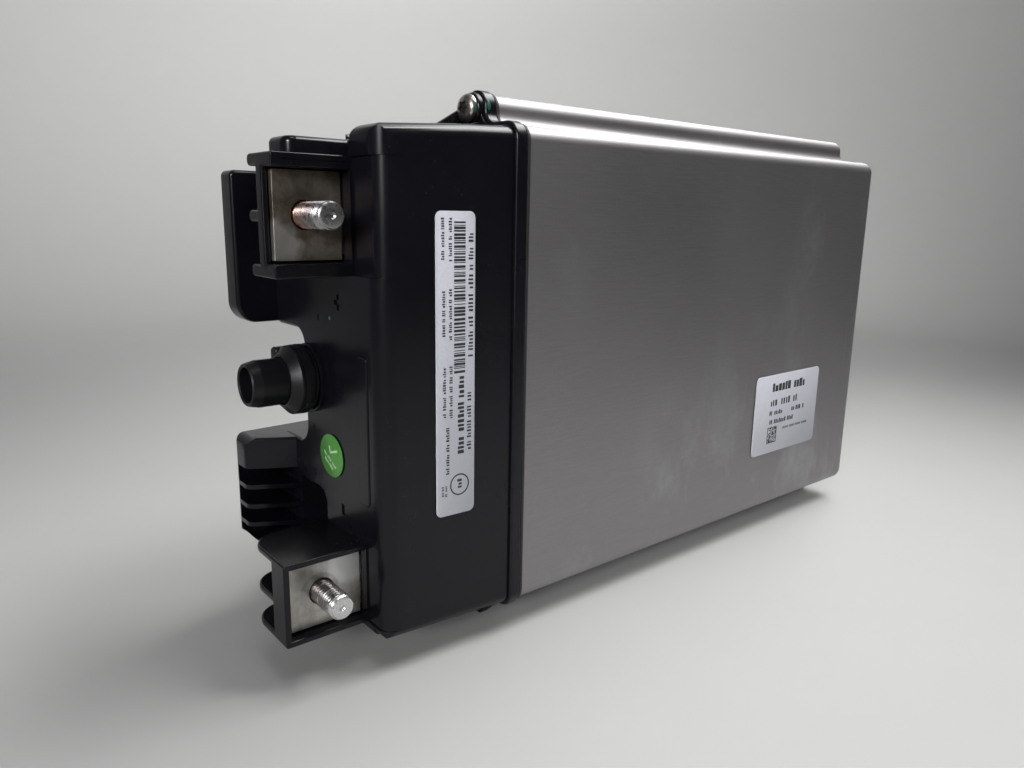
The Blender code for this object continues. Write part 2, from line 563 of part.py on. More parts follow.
def vent():
    axis = (VENT_Y, VENT_Z)
    turned("vent_nozzle", "X", axis, [
        (VENT_TIP, VENT_BORE + 0.5 * MM), (VENT_TIP + 0.8 * MM, VENT_RADIUS - 0.3 * MM),
        (VENT_TIP + 2 * MM, VENT_RADIUS), (-46.8 * MM, VENT_RADIUS), (-46.8 * MM, 4 * MM),
        (-48.4 * MM, 4 * MM), (-48.4 * MM, 6.5 * MM), (-60.4 * MM, 6.5 * MM),
        (-60.4 * MM, VENT_BORE), (VENT_TIP + 0.6 * MM, VENT_BORE),
    ], BLACK_PLASTIC, 36, hollow=True)
    collar = turned("vent_collar", "X", axis, [
        (-63.8 * MM, VENT_RADIUS + GAP), (-63.8 * MM, 8.6 * MM), (-61 * MM, COLLAR_RADIUS),
        (-56.4 * MM, COLLAR_RADIUS), (-56.4 * MM, VENT_RADIUS + GAP),
    ], BLACK_PLASTIC, 36, hollow=True)
    loop = box("collar_loop", (-63 * MM, 54 * MM, 82 * MM), (-57.5 * MM, 58 * MM, 87 * MM),
               BLACK_PLASTIC)
    window = box("collar_loop_window", (-62 * MM, 52 * MM, 83 * MM),
                 (-60 * MM, 62 * MM, 86 * MM), BLACK_PLASTIC)
    keep = turned("collar_keep", "X", axis, [(-70 * MM, VENT_RADIUS + GAP),
                                             (-50 * MM, VENT_RADIUS + GAP)], BLACK_PLASTIC, 36)
    boolean(collar, "UNION", [loop])
    boolean(collar, "DIFFERENCE", [window, keep])
    turned("vent_seal_ring", "X", axis, [
        (-56.1 * MM, VENT_RADIUS + GAP), (-56.1 * MM, 10.6 * MM),
        (-55.1 * MM, 10.6 * MM), (-55.1 * MM, VENT_RADIUS + GAP),
    ], BLACK_RUBBER, 36, hollow=True)
    turned("vent_lock_ring", "X", axis, [
        (-49.7 * MM, VENT_RADIUS + GAP), (-49.7 * MM, 9.1 * MM),
        (-47.2 * MM, 9.1 * MM), (-47.2 * MM, VENT_RADIUS + GAP),
    ], WHITE_PLASTIC, 24, hollow=True)
    disc_seat = -48.7 * MM
    disc_front = disc_seat - 1.6 * MM
    turned("vent_valve_disc", "X", axis, [
        (disc_front - 3 * MM, 1.6 * MM), (disc_front, 1.6 * MM), (disc_front, 6 * MM),
        (disc_seat, 6 * MM),
    ], BLACK_RUBBER, 24, location=(disc_seat, *axis))
    spring("vent_valve_spring", "X", axis, -60.1 * MM, disc_front - GAP, 5.75 * MM, 0.4 * MM, 4,
           STEEL)


# Labels --------------------------------------------------------------------------------------

LABEL_THICKNESS = 0.2 * MM


def tower_near(x):
    """The y of the cover's drafted near face at a place along it."""
    share = (x - FACE) / (TOWER_ROOT - FACE)
    return FACE_NEAR + share * (TOWER_ROOT_NEAR - FACE_NEAR)


def labels():
    tall = rounded(-34.7 * MM, -20.5 * MM, 37.2 * MM, 132.2 * MM, 2 * MM, 3)
    loft("cover_label", [
        [(x, tower_near(x) - GAP - thickness, z) for x, z in tall]
        for thickness in (LABEL_THICKNESS, 0)
    ], PAPER)
    prism("can_label", "Y", -GAP - LABEL_THICKNESS, -GAP,
          rounded(136 * MM, 188.6 * MM, 25 * MM, 62.1 * MM, 2.5 * MM, 3), PAPER)
    middle = (34.6 * MM, 53 * MM)
    oval = [(middle[0] + 7.9 * MM * math.cos(math.radians(15 * i)),
             middle[1] + 7.2 * MM * math.sin(math.radians(15 * i))) for i in range(24)]
    prism("inspection_sticker", "X", FACE - GAP - LABEL_THICKNESS, FACE - GAP, oval, GREEN_PAPER)


# Electronics inside the cover ------------------------------------------------------------------

def signal_connector():
    shroud = prism("signal_connector", "X", -61 * MM, -46 * MM,
                   rounded(46.3 * MM, 59.7 * MM, 116.3 * MM, 135.7 * MM, 0.8 * MM, 2),
                   BLACK_PLASTIC)
    socket = prism("signal_socket", "X", -62 * MM, -50 * MM,
                   rounded(48.3 * MM, 57.7 * MM, 118.3 * MM, 133.7 * MM, 0.5 * MM, 2),
                   BLACK_PLASTIC)
    boolean(shroud, "DIFFERENCE", [socket])


def contactor():
    y, z = CONTACTOR_Y, CONTACTOR_FLOOR
    outline = [(y - 12 * MM, z), (y + 12 * MM, z), (y + 12 * MM, z + 23 * MM),
               (y + 9.5 * MM, z + 23 * MM), (y + 9.5 * MM, z + 2.5 * MM),
               (y - 9.5 * MM, z + 2.5 * MM), (y - 9.5 * MM, z + 23 * MM),
               (y - 12 * MM, z + 23 * MM)]
    prism("contactor_yoke", "X", CONTACTOR_X - 10 * MM, CONTACTOR_X + 10 * MM, outline, STEEL)
    axis = (CONTACTOR_X, y)
    turned("contactor_coil", "Z", axis, [
        (z + 2.8 * MM, 4.2 * MM), (z + 2.8 * MM, 8.8 * MM), (z + 20 * MM, 8.8 * MM),
        (z + 20 * MM, 4.2 * MM),
    ], MAGNET_WIRE, 28, hollow=True)
    turned("contactor_plunger", "Z", axis, [
        (z + 5.5 * MM, 3.8 * MM), (z + 26 * MM, 3.8 * MM), (z + 26 * MM, 6.5 * MM),
        (z + 28 * MM, 6.5 * MM),
    ], STEEL, 24, location=(*axis, z + 26 * MM))
    spring("contactor_spring", "Z", axis, z + 20.3 * MM, z + 25.7 * MM, 5 * MM, 0.45 * MM, 3,
           STEEL)
    bridge_low = z + 28.3 * MM
    bridge = box("contact_bridge", (CONTACTOR_X - 4 * MM, y - 15.5 * MM, bridge_low),
                 (CONTACTOR_X + 4 * MM, y + 15.5 * MM, bridge_low + 2 * MM), COPPER)
    bridge.location = (0, 0, 0)
    for side, name in ((-1, "contact_post_line"), (1, "contact_post_load")):
        inner = y + side * 12.4 * MM
        outer = y + side * 15.8 * MM
        box(name, (CONTACTOR_X - 5 * MM, min(inner, outer), z + 8 * MM),
            (CONTACTOR_X + 5 * MM, max(inner, outer), bridge_low - CONTACTOR_TRAVEL - GAP), COPPER)


def electronics():
    signal_connector()
    contactor()
    box("main_fuse", (-43 * MM, 20 * MM, 119 * MM), (-25 * MM, 32 * MM, 141 * MM), FUSE_BODY)
    box("current_shunt", (-43 * MM, 17.6 * MM, 8 * MM), (-28 * MM, 20.6 * MM, 23 * MM), COPPER)
    control = box("control_board", (-16 * MM, 16 * MM, 22 * MM), (-14.4 * MM, 86 * MM, 149 * MM),
                  BOARD)
    posts = ((82, 28), (82, 140), (66, 70), (60, 28))
    holes = []
    for i, (y, z) in enumerate(posts, start=1):
        place = (y * MM, z * MM)
        turned(f"board_standoff_{i}", "X", place, [
            (BASE_FRONT + COVER_WALL + GAP, 3 * MM), (-16.3 * MM, 3 * MM), (-16.3 * MM, 1.5 * MM),
            (-13.5 * MM, 1.5 * MM),
        ], STEEL, 12)
        holes.append(turned(f"board_hole_{i}", "X", place, [(-17 * MM, 1.8 * MM),
                                                            (-13 * MM, 1.8 * MM)], BOARD, 12))
    boolean(control, "DIFFERENCE", holes)
    box("sense_board", (-4.5 * MM, 12 * MM, 24 * MM), (-3.3 * MM, 84 * MM, 140 * MM), BOARD)


# The cell stack --------------------------------------------------------------------------------

TAB_UPPER = (100 * MM, 126 * MM)
TAB_LOWER = (24 * MM, 50 * MM)
TAB_TIP = 2 * MM


def cell_mesh():
    """A flat pouch with its two tabs, centred on y = 0."""
    bm = bmesh.new()
    bmesh.ops.create_cube(bm, size=1)
    size = Vector((CELL_X[1] - CELL_X[0], CELL_THICKNESS, CELL_Z[1] - CELL_Z[0]))
    bmesh.ops.scale(bm, vec=size, verts=bm.verts)
    middle = Vector(((CELL_X[0] + CELL_X[1]) / 2, 0, (CELL_Z[0] + CELL_Z[1]) / 2))
    bmesh.ops.translate(bm, vec=middle, verts=bm.verts)
    tab = 0.4 * MM
    planes = [((0, y, 0), (0, 1, 0)) for y in (-tab, tab)]
    planes += [((0, 0, z), (0, 0, 1)) for z in (*TAB_LOWER, *TAB_UPPER)]
    for point, normal in planes:
        everything = bm.verts[:] + bm.edges[:] + bm.faces[:]
        bmesh.ops.bisect_plane(bm, geom=everything, plane_co=point, plane_no=normal)
    for low, high in (TAB_LOWER, TAB_UPPER):
        roots = [
            face for face in bm.faces
            if abs(face.calc_center_median().x - CELL_X[0]) < 0.01 * MM
            and abs(face.calc_center_median().y) < tab
            and low < face.calc_center_median().z < high
        ]
        grown = bmesh.ops.extrude_face_region(bm, geom=roots)["geom"]
        tips = [item for item in grown if isinstance(item, bmesh.types.BMVert)]
        bmesh.ops.translate(bm, vec=(TAB_TIP - CELL_X[0], 0, 0), verts=tips)
        bmesh.ops.delete(bm, geom=roots, context="FACES")
    bmesh.ops.recalc_face_normals(bm, faces=bm.faces)
    mesh = bpy.data.meshes.new("cell")
    bm.to_mesh(mesh)
    bm.free()
    mesh.materials.append(CELL_FOIL)
    return mesh


def cell_stack():
    mesh = cell_mesh()
    first = STACK_MIDDLE - CELL_PITCH * (CELL_COUNT - 1) / 2
    for i in range(CELL_COUNT):
        add_object(f"cell_{i + 1:02d}", mesh, (0, first + i * CELL_PITCH, 0))
    half_stack = CELL_PITCH * (CELL_COUNT - 1) / 2 + CELL_THICKNESS / 2
    near = STACK_MIDDLE - half_stack
    far = STACK_MIDDLE + half_stack
    layers = (("end_plate", GAP, 1.5 * MM, ALUMINIUM), ("foam_pad", 1.5 * MM + 2 * GAP, 2.9 * MM, FOAM))
    for name, offset, thickness, look in layers:
        start, end = near - offset - thickness, near - offset
        box(f"near_{name}", (CELL_X[0], start, CELL_Z[0]), (CELL_X[1], end, CELL_Z[1]), look)
        start, end = far + offset, far + offset + thickness
        box(f"far_{name}", (CELL_X[0], start, CELL_Z[0]), (CELL_X[1], end, CELL_Z[1]), look)
    carrier = box("cell_carrier", (6 * MM, 3 * MM, 12 * MM), (8.5 * MM, 91 * MM, 147 * MM),
                  WHITE_PLASTIC)
    windows = [
        box(f"tab_window_{i}", (4 * MM, 6 * MM, low - 2 * MM), (10 * MM, 88 * MM, high + 2 * MM),
            WHITE_PLASTIC)
        for i, (low, high) in enumerate((TAB_LOWER, TAB_UPPER))
    ]
    boolean(carrier, "DIFFERENCE", windows)
    box("positive_strap", (-24 * MM, 8.6 * MM, 100 * MM), (1.7 * MM, 10.6 * MM, 116 * MM), COPPER)
    strap = prism("negative_strap", "Z", 9 * MM, 17 * MM, [
        (-27.7 * MM, 17.6 * MM), (-0.3 * MM, 17.6 * MM), (1.7 * MM, 19.6 * MM), (1.7 * MM, 85 * MM),
        (-0.3 * MM, 85 * MM), (-0.3 * MM, 20.6 * MM), (-27.7 * MM, 20.6 * MM),
    ], COPPER)
    riser = box("strap_riser", (-0.3 * MM, 80 * MM, 10 * MM), (1.7 * MM, 85 * MM, 46 * MM), COPPER)
    boolean(strap, "UNION", [riser])


can_housing()
cover_gasket()
cover_screws()
front_cover()
terminals()
vent()
labels()
electronics()
cell_stack()
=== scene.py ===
"""Looks of the lithium-ion battery pack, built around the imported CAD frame.

The pieces are drawn in case coordinates, in millimetres, like the part itself: X runs from the
seam between the cover and the can to the can's closed end, Y from the near side face to the far
one, and Z up from just above the can's floor. They are moved into the row frame when finished.
"""
import json
import math
import random

import bmesh
import bpy
from mathutils import Matrix, Vector


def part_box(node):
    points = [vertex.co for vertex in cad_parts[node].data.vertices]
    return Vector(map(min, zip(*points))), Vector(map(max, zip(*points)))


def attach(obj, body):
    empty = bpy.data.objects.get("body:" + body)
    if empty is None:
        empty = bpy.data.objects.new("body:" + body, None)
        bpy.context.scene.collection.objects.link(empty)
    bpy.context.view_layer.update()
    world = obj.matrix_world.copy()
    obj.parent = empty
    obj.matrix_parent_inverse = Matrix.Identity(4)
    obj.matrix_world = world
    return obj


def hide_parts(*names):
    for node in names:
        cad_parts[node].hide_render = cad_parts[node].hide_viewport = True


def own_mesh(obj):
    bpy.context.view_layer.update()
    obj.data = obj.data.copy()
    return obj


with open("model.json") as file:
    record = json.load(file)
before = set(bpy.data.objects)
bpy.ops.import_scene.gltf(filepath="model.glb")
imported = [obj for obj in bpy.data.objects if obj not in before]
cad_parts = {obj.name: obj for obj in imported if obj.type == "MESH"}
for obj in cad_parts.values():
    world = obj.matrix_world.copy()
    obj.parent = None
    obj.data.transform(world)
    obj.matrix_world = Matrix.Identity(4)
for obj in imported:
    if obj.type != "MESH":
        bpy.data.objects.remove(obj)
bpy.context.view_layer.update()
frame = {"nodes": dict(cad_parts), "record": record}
SLOTS = {row["node"]: row["material_slot"] for row in frame["record"]["subparts"]}

MM = 0.001
SAME_POINT = 1e-4

# The can and its ridges, as the part has them
CAN_LENGTH = 225
CAN_FLOOR = -2.2
CAN_ROOF = 159
CAN_DEPTH = 94
CAN_WALL = 2.2
CAN_EDGE = 5
RIDGE_RISE = 10.5
RIDGE_RADIUS = 5
RIDGE_NEAR = 21
RIDGE_FAR = CAN_DEPTH - RIDGE_NEAR
SOLE_DROP = 9.8
GAP = 0.3

# The cover, as the part has it
LIP_FRONT = -6.6
BASE_FRONT = -23
FACE = -53
COVER_WALL = 3
FACE_NEAR = 2.2
FACE_BOTTOM = -0.4
FACE_TOP = 155.5
TOWER_FAR = 17.6
TOWER_EDGE = 6
TOWER_ROOT = BASE_FRONT + 1
TOWER_ROOT_NEAR = 0.9
SHOULDER_TOP = 152
SCALLOP_FAR = 53.4
LUG_FAR = 74.6
UPPER_LUG_BOTTOM = 92.5
LOWER_LUG_TOP = 53
LOWER_LUG_BOTTOM = 38.6
POCKET_EDGE = 40.8
RIB_FAR = 34.4
FINS_FRONT = -68.4
SCREW_BORE = 2.3
VENT = (48.5, 77)

can_low, can_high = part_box("can_housing")
ORIGIN = Vector((can_high.x, can_low.y, can_high.z))
ORIGIN -= Vector((CAN_LENGTH, 0, CAN_ROOF + RIDGE_RISE)) * MM


def case_box(node):
    """A node's lowest and highest corners in case millimetres."""
    low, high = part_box(node)
    return (low - ORIGIN) / MM, (high - ORIGIN) / MM


# --- Outlines ---

def polar(centre, radius, turn):
    """The point at a radius and a turn in radians from a centre."""
    return centre[0] + radius * math.cos(turn), centre[1] + radius * math.sin(turn)


def arc(centre, radius, start, end, steps=8):
    """Points on an arc from one angle to another, in degrees."""
    return [polar(centre, radius, math.radians(start + (end - start) * i / steps))
            for i in range(steps + 1)]


def circle(centre, radius, steps):
    """Points round a centre; the radius may be a function of the turn in radians."""
    turns = [2 * math.pi * i / steps for i in range(steps)]
    return [polar(centre, radius(turn) if callable(radius) else radius, turn) for turn in turns]


def corner(u, v, radius, start, end, steps=8):
    """The quarter arc that rounds off a right-angled corner at (u, v)."""
    middle = math.radians((start + end) / 2)
    centre = (u - math.copysign(radius, math.cos(middle)), v - math.copysign(radius, math.sin(middle)))
    return arc(centre, radius, start, end, steps)


def rounded(low_u, high_u, low_v, high_v, radius, steps=6):
    """A rectangle with rounded corners, anticlockwise."""
    return (
        corner(low_u, low_v, radius, 180, 270, steps)
        + corner(high_u, low_v, radius, 270, 360, steps)
        + corner(high_u, high_v, radius, 0, 90, steps)
        + corner(low_u, high_v, radius, 90, 180, steps)
    )


def cleaned(outline):
    """The outline without repeated points."""
    return [point for point, before in zip(outline, outline[-1:] + outline[:-1])
            if (Vector(point) - Vector(before)).length > SAME_POINT]


def area(outline):
    pairs = zip(outline, outline[1:] + outline[:1])
    return sum(a[0] * b[1] - b[0] * a[1] for a, b in pairs) / 2


def inset(outline, distance):
    """The outline moved inwards by a distance, each edge staying parallel to itself."""
    inward = 1 if area(outline) > 0 else -1
    moved = []
    for i, point in enumerate(outline):
        here = Vector(point)
        before = (here - Vector(outline[i - 1])).normalized()
        after = (Vector(outline[(i + 1) % len(outline)]) - here).normalized()
        both = Vector((-before.y, before.x)) + Vector((-after.y, after.x))
        share = 1 + before.dot(after)
        moved.append(tuple(here + both * inward * distance / max(share, 0.2)))
    return moved


# --- Solids ---

def placed(axis, along, u, v):
    """The 3-D point at (u, v) across the given axis and at a distance along it."""
    return {"X": (along, u, v), "Y": (u, along, v), "Z": (u, v, along)}[axis]


AXES = {"X": (0, 1, 2), "Y": (1, 0, 2), "Z": (2, 0, 1)}


def section(along, outline):
    """A (y, z) outline as a ring at one X."""
    return [(along, y, z) for y, z in outline]


def added(name, data):
    """A new object in the scene."""
    made = bpy.data.objects.new(name, data)
    bpy.context.scene.collection.objects.link(made)
    return made


def mesh_object(name, bm):
    bmesh.ops.recalc_face_normals(bm, faces=bm.faces)
    mesh = bpy.data.meshes.new(name)
    bm.to_mesh(mesh)
    bm.free()
    return added(name, mesh)


def bridge(bm, rows, around=False):
    """Quads between neighbouring rings of vertices; around joins the last ring to the first."""
    for lower, upper in zip(rows, rows[1:] + rows[:1] if around else rows[1:]):
        for i in range(len(lower)):
            j = (i + 1) % len(lower)
            bm.faces.new((lower[i], lower[j], upper[j], upper[i]))


def loft(name, rings, around=False):
    """A solid through rings of 3-D points, closed at its ends or joined around."""
    bm = bmesh.new()
    rows = [[bm.verts.new(point) for point in ring] for ring in rings]
    bridge(bm, rows, around)
    if not around:
        bm.faces.new(rows[0])
        bm.faces.new(rows[-1])
    return mesh_object(name, bm)


def rounded_end(end, rim, inwards, steps):
    """The (along, step in) points of a prism's rounded end edge, from its side to its end face."""
    if not rim:
        return [(end, 0)]
    turns = [math.radians(90 * i / steps) for i in range(steps + 1)]
    return [(end + inwards * rim * (1 - math.sin(t)), rim * (1 - math.cos(t))) for t in turns]


def prism(name, axis, low, high, outline, rims=(0, 0), steps=3):
    """An outline extruded along an axis, its two end edges rounded by the rims."""
    outline = cleaned(outline)
    profile = rounded_end(low, rims[0], 1, steps)[::-1] + rounded_end(high, rims[1], -1, steps)
    return loft(name, [[placed(axis, along, u, v) for u, v in inset(outline, step_in)]
                       for along, step_in in profile])


def block(name, low, high, edge=0.5, axis="X"):
    """A box with all its edges rounded."""
    along, u, v = AXES[axis]
    outline = rounded(low[u], high[u], low[v], high[v], edge, 3)
    return prism(name, axis, low[along], high[along], outline, (0.8 * edge, 0.8 * edge))


def turned(name, axis, centre, profile, steps=48, around=False):
    """A profile of (along, radius) points spun about an axis."""
    return loft(name, [[placed(axis, along, u, v) for u, v in circle(centre, radius, steps)]
                       for along, radius in profile], around)


def baked(obj):
    """Apply the modifiers and return the object."""
    depsgraph = bpy.context.evaluated_depsgraph_get()
    mesh = bpy.data.meshes.new_from_object(obj.evaluated_get(depsgraph))
    obj.modifiers.clear()
    obj.data = mesh
    return obj


def boolean(target, operation, tools):
    """Apply an exact Boolean with each tool in turn and remove the tools."""
    for tool in tools:
        change = target.modifiers.new("boolean", "BOOLEAN")
        change.object = tool
        change.operation = operation
        change.solver = "EXACT"
    baked(target)
    for tool in tools:
        bpy.data.objects.remove(tool, do_unlink=True)
    return target


def finished(obj, look, replaces=(), sharp=32, weighted=True):
    """Move a piece into the row frame, shade it, give it its material and let it ride."""
    mesh = obj.data
    mesh.transform(Matrix.Translation(ORIGIN) @ Matrix.Scale(MM, 4))
    mesh.materials.clear()
    mesh.materials.append(look)
    mesh.shade_smooth()
    mesh.set_sharp_from_angle(angle=math.radians(sharp))
    if weighted:
        normals = obj.modifiers.new("normals", "WEIGHTED_NORMAL")
        normals.keep_sharp = True
        normals.weight = 80
    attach(obj, "pack")
    if replaces:
        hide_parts(*replaces)
    return obj


# --- Materials ---

class Nodes:
    """A material under construction, with short ways to add the nodes used here."""

    def __init__(self, name, roughness=0.5, metallic=0.0, specular=0.5):
        self.material = bpy.data.materials.new(name)
        self.material.use_nodes = True
        self.tree = self.material.node_tree
        self.shader = self.tree.nodes["Principled BSDF"]
        self.feed({"Roughness": roughness, "Metallic": metallic, "Specular IOR Level": specular},
                  self.shader)
        self.place = self.node("TexCoord", {}).outputs["Object"]

    def feed(self, inputs, node):
        """Link a node's inputs to sockets, or set them to values."""
        for key, value in inputs.items():
            if isinstance(value, bpy.types.NodeSocket):
                self.tree.links.new(value, node.inputs[key])
            else:
                node.inputs[key].default_value = value

    def node(self, kind, inputs, **settings):
        made = self.tree.nodes.new("ShaderNode" + kind)
        for key, value in settings.items():
            setattr(made, key, value)
        self.feed(inputs, made)
        return made

    def stretched(self, scale, rotation=(0, 0, 0)):
        inputs = {"Vector": self.place, "Scale": scale, "Rotation": rotation}
        return self.node("Mapping", inputs).outputs["Vector"]

    def noise(self, scale, detail, vector=None, roughness=0.55):
        inputs = {"Vector": vector or self.place, "Scale": scale, "Detail": detail,
                  "Roughness": roughness}
        return self.node("TexNoise", inputs).outputs["Fac"]

    def ramp(self, source, *stops):
        """A colour ramp; each stop is (position, grey or (r, g, b))."""
        made = self.node("ValToRGB", {"Fac": source})
        elements = made.color_ramp.elements
        while len(elements) < len(stops):
            elements.new(0.5)
        for element, (position, color) in zip(elements, stops):
            element.position = position
            element.color = (*(color if isinstance(color, tuple) else (color,) * 3), 1)
        return made.outputs["Color"]

    def mask(self, scale, detail, low, high, vector=None, roughness=0.55):
        """0 where the noise is under one value, 1 where it is over another."""
        return self.ramp(self.noise(scale, detail, vector, roughness), (low, 0.0), (high, 1.0))

    def mix(self, factor, base, color):
        """The base with a flat colour laid over it; 6 and 7 are the Mix node's colour inputs."""
        inputs = {0: factor, 6: base, 7: (*color, 1)}
        return self.node("Mix", inputs, data_type="RGBA").outputs[2]

    def math(self, operation, first, second):
        return self.node("Math", {0: first, 1: second}, operation=operation).outputs[0]

    def times(self, first, second):
        return self.math("MULTIPLY", first, second)

    def share(self, part, first, second):
        """Part of one value and the rest of another."""
        return self.math("ADD", self.times(first, part), self.times(second, 1 - part))

    def near(self, point, *stops):
        """A ramp over the distance in millimetres from a point given in case coordinates."""
        inputs = {0: self.place, 1: ORIGIN + Vector(point) * MM}
        distance = self.node("VectorMath", inputs, operation="DISTANCE").outputs["Value"]
        reach = 20
        share = self.math("DIVIDE", distance, reach * MM)
        return self.ramp(share, *[(position / reach, value) for position, value in stops])

    def along_y(self, start, end):
        """0 at one Y and 1 at another, both in case millimetres."""
        y = self.node("SeparateXYZ", {"Vector": self.place}).outputs["Y"]
        return self.math("DIVIDE", self.math("SUBTRACT", y, ORIGIN.y + start * MM), (end - start) * MM)

    def from_axis(self, centre):
        """The distance from a line along Y, given by its case (x, z), in centimetres."""
        value = self.place
        for operation, second in (("SUBTRACT", ORIGIN + Vector((centre[0], 0, centre[1])) * MM),
                                  ("MULTIPLY", (100, 0, 100))):
            value = self.node("VectorMath", {0: value, 1: second}, operation=operation).outputs[0]
        return self.node("VectorMath", {0: value}, operation="LENGTH").outputs["Value"]

    def shade(self, color, roughness):
        self.feed({"Base Color": color, "Roughness": roughness}, self.shader)

    def bump(self, height, strength, distance_mm, below=None):
        inputs = {"Height": height, "Strength": strength, "Distance": distance_mm * MM}
        if below:
            inputs["Normal"] = below
        normal = self.node("Bump", inputs).outputs["Normal"]
        self.feed({"Normal": normal}, self.shader)
        return normal


def plastic(name, dark, light, roughness=(0.3, 0.42), grain=0.12, dust=0.0):
    """Moulded plastic: slightly uneven colour, fine spark-eroded grain, handling marks, dust."""
    look = Nodes(name, specular=0.28)
    base = look.ramp(look.noise(45, 5), (0.3, dark), (0.75, light))
    if dust:
        specks = look.times(look.mask(2600, 1, 0.74, 0.80), look.mask(38, 3, 0.48, 0.72))
        base = look.mix(look.times(specks, dust), base, (0.35, 0.35, 0.36))
    look.shade(base, look.ramp(look.noise(22, 6), (0.35, roughness[0]), (0.7, roughness[1])))
    fine = look.bump(look.noise(2200, 2), grain, 0.03)
    look.bump(look.noise(60, 3), 0.06, 0.25, fine)
    return look.material


def brushed_metal(name, dark, light, roughness, stretch, grain=1400, spots=None, strength=0.12):
    """Metal with fine drawn lines along one direction and cloudy tarnish."""
    look = Nodes(name, metallic=1.0)
    lines = look.noise(grain, 3, look.stretched(stretch))
    mixed = look.share(0.45, lines, look.noise(28, 5))
    base = look.ramp(mixed, (0.36, dark), (0.62, light))
    if spots:
        color, scale, start, amount = spots
        base = look.mix(look.times(look.mask(scale, 4, start, start + 0.14), amount), base, color)
    look.shade(base, look.ramp(mixed, (0.35, roughness[0]), (0.65, roughness[1])))
    look.bump(lines, strength, 0.02)
    return look.material


def can_aluminium():
    """Satin extruded aluminium: fine grain, faint lines, hazy handling marks and hairline scratches."""
    look = Nodes("can_aluminium", metallic=1.0)
    lines = look.noise(1500, 4, look.stretched((0.08, 1, 1.3)))
    grain = look.noise(2600, 3)
    cloud = look.noise(9, 6)
    base = look.ramp(look.share(0.3, lines, grain),
                     (0.32, (0.265, 0.253, 0.260)), (0.68, (0.345, 0.333, 0.340)))
    base = look.mix(look.ramp(cloud, (0.35, 0.0), (0.7, 0.5)), base, (0.31, 0.298, 0.302))
    haze = look.mask(24, 8, 0.54, 0.72, look.stretched((1, 1, 0.6), (0, 0.5, 0)), 0.62)
    haze = look.times(look.times(haze, look.mask(7, 2, 0.42, 0.58)), 0.65)
    base = look.mix(haze, base, (0.50, 0.50, 0.515))
    scratches = look.mask(120, 2, 0.745, 0.765, look.stretched((1, 1, 0.03), (0, 0.12, 0)))
    base = look.mix(look.times(scratches, 0.13), base, (0.6, 0.6, 0.6))
    look.shade(base, look.ramp(look.share(0.5, cloud, grain), (0.35, 0.45), (0.66, 0.56)))
    look.bump(lines, 0.05, 0.02, look.bump(grain, 0.16, 0.03))
    return look.material


def soft_matter(name, dark, light, roughness, scale=900, strength=0.35, distance=0.08):
    """Foam, rubber or paper: cloudy colour over a fine cellular or fibrous surface."""
    look = Nodes(name, roughness=roughness)
    cells = look.noise(scale, 3)
    look.shade(look.ramp(look.share(0.6, cells, look.noise(50, 4)), (0.35, dark), (0.68, light)),
               look.ramp(cells, (0.3, max(roughness - 0.06, 0)), (0.7, min(roughness + 0.06, 1))))
    look.bump(cells, strength, distance)
    return look.material


def tarnished_plate(name, dark, light, stain, stain_share, stud_place, bright_patch, bright_patch_place):
    """Tinned copper: brushed lines, brown tarnish, a washer's ring and one bright patch."""
    look = Nodes(name, metallic=0.85)
    lines = look.noise(1100, 4, look.stretched((1, 1, 0.2), (0, 0.35, 0)))
    cloud = look.noise(110, 7, None, 0.62)
    base = look.ramp(look.share(0.2, lines, cloud), (0.38, dark), (0.64, light))
    marks = look.mask(170, 8, 0.48, 0.64, None, 0.66)
    base = look.mix(look.times(marks, stain_share), base, stain)
    # A brighter patch with a ragged edge, around a given point.
    ragged = look.math("ADD", look.near(bright_patch_place, (0, 1.0), (5, 0.8), (10.5, 0.0)),
                       look.math("SUBTRACT", look.noise(260, 5), 0.5))
    base = look.mix(look.ramp(ragged, (0.3, 0.0), (0.62, 0.85)), base, bright_patch)
    ring = look.near(stud_place, (5.2, 0.0), (6.0, 0.5), (6.3, 0.5), (6.7, 0.0))
    base = look.mix(look.times(ring, cloud), base, tuple(0.45 * c for c in dark))
    look.shade(base, look.ramp(cloud, (0.35, 0.30), (0.65, 0.52)))
    look.bump(lines, 0.15, 0.03)
    return look.material


def stud_metal(name, root, tip, root_y, tip_y, centre):
    """Plated metal, coloured at the root and brighter at the tip, with painted shade in the thread roots."""
    look = Nodes(name, metallic=1.0)
    share = look.along_y(root_y, tip_y)
    uneven = look.times(look.math("SUBTRACT", look.noise(420, 5), 0.5), 0.7)
    base = look.ramp(look.math("ADD", share, uneven), (0.1, root), (0.8, tip))
    # Painted shade: the thread roots are darkened in patches, standing in for occlusion in the grooves.
    grooves = look.ramp(look.from_axis(centre), (0.345, 1.0), (0.385, 0.0))
    shaft = look.ramp(share, (0.86, 1.0), (0.93, 0.0))
    patches = look.ramp(look.noise(500, 4), (0.3, 0.5), (0.6, 1.0))
    thread_root_shade = look.times(look.times(grooves, shaft), patches)
    base = look.mix(look.times(thread_root_shade, 0.9), base, (0.035, 0.030, 0.028))
    # The shaft is darkened towards near-black in patches.
    shaft_darkening = look.times(shaft, look.ramp(look.noise(260, 3), (0.42, 0.25), (0.58, 0.8)))
    look.shade(look.mix(shaft_darkening, base, (0.11, 0.10, 0.10)),
               look.ramp(look.noise(700, 4), (0.35, 0.22), (0.7, 0.46)))
    look.bump(look.noise(1500, 3), 0.12, 0.03)
    return look.material


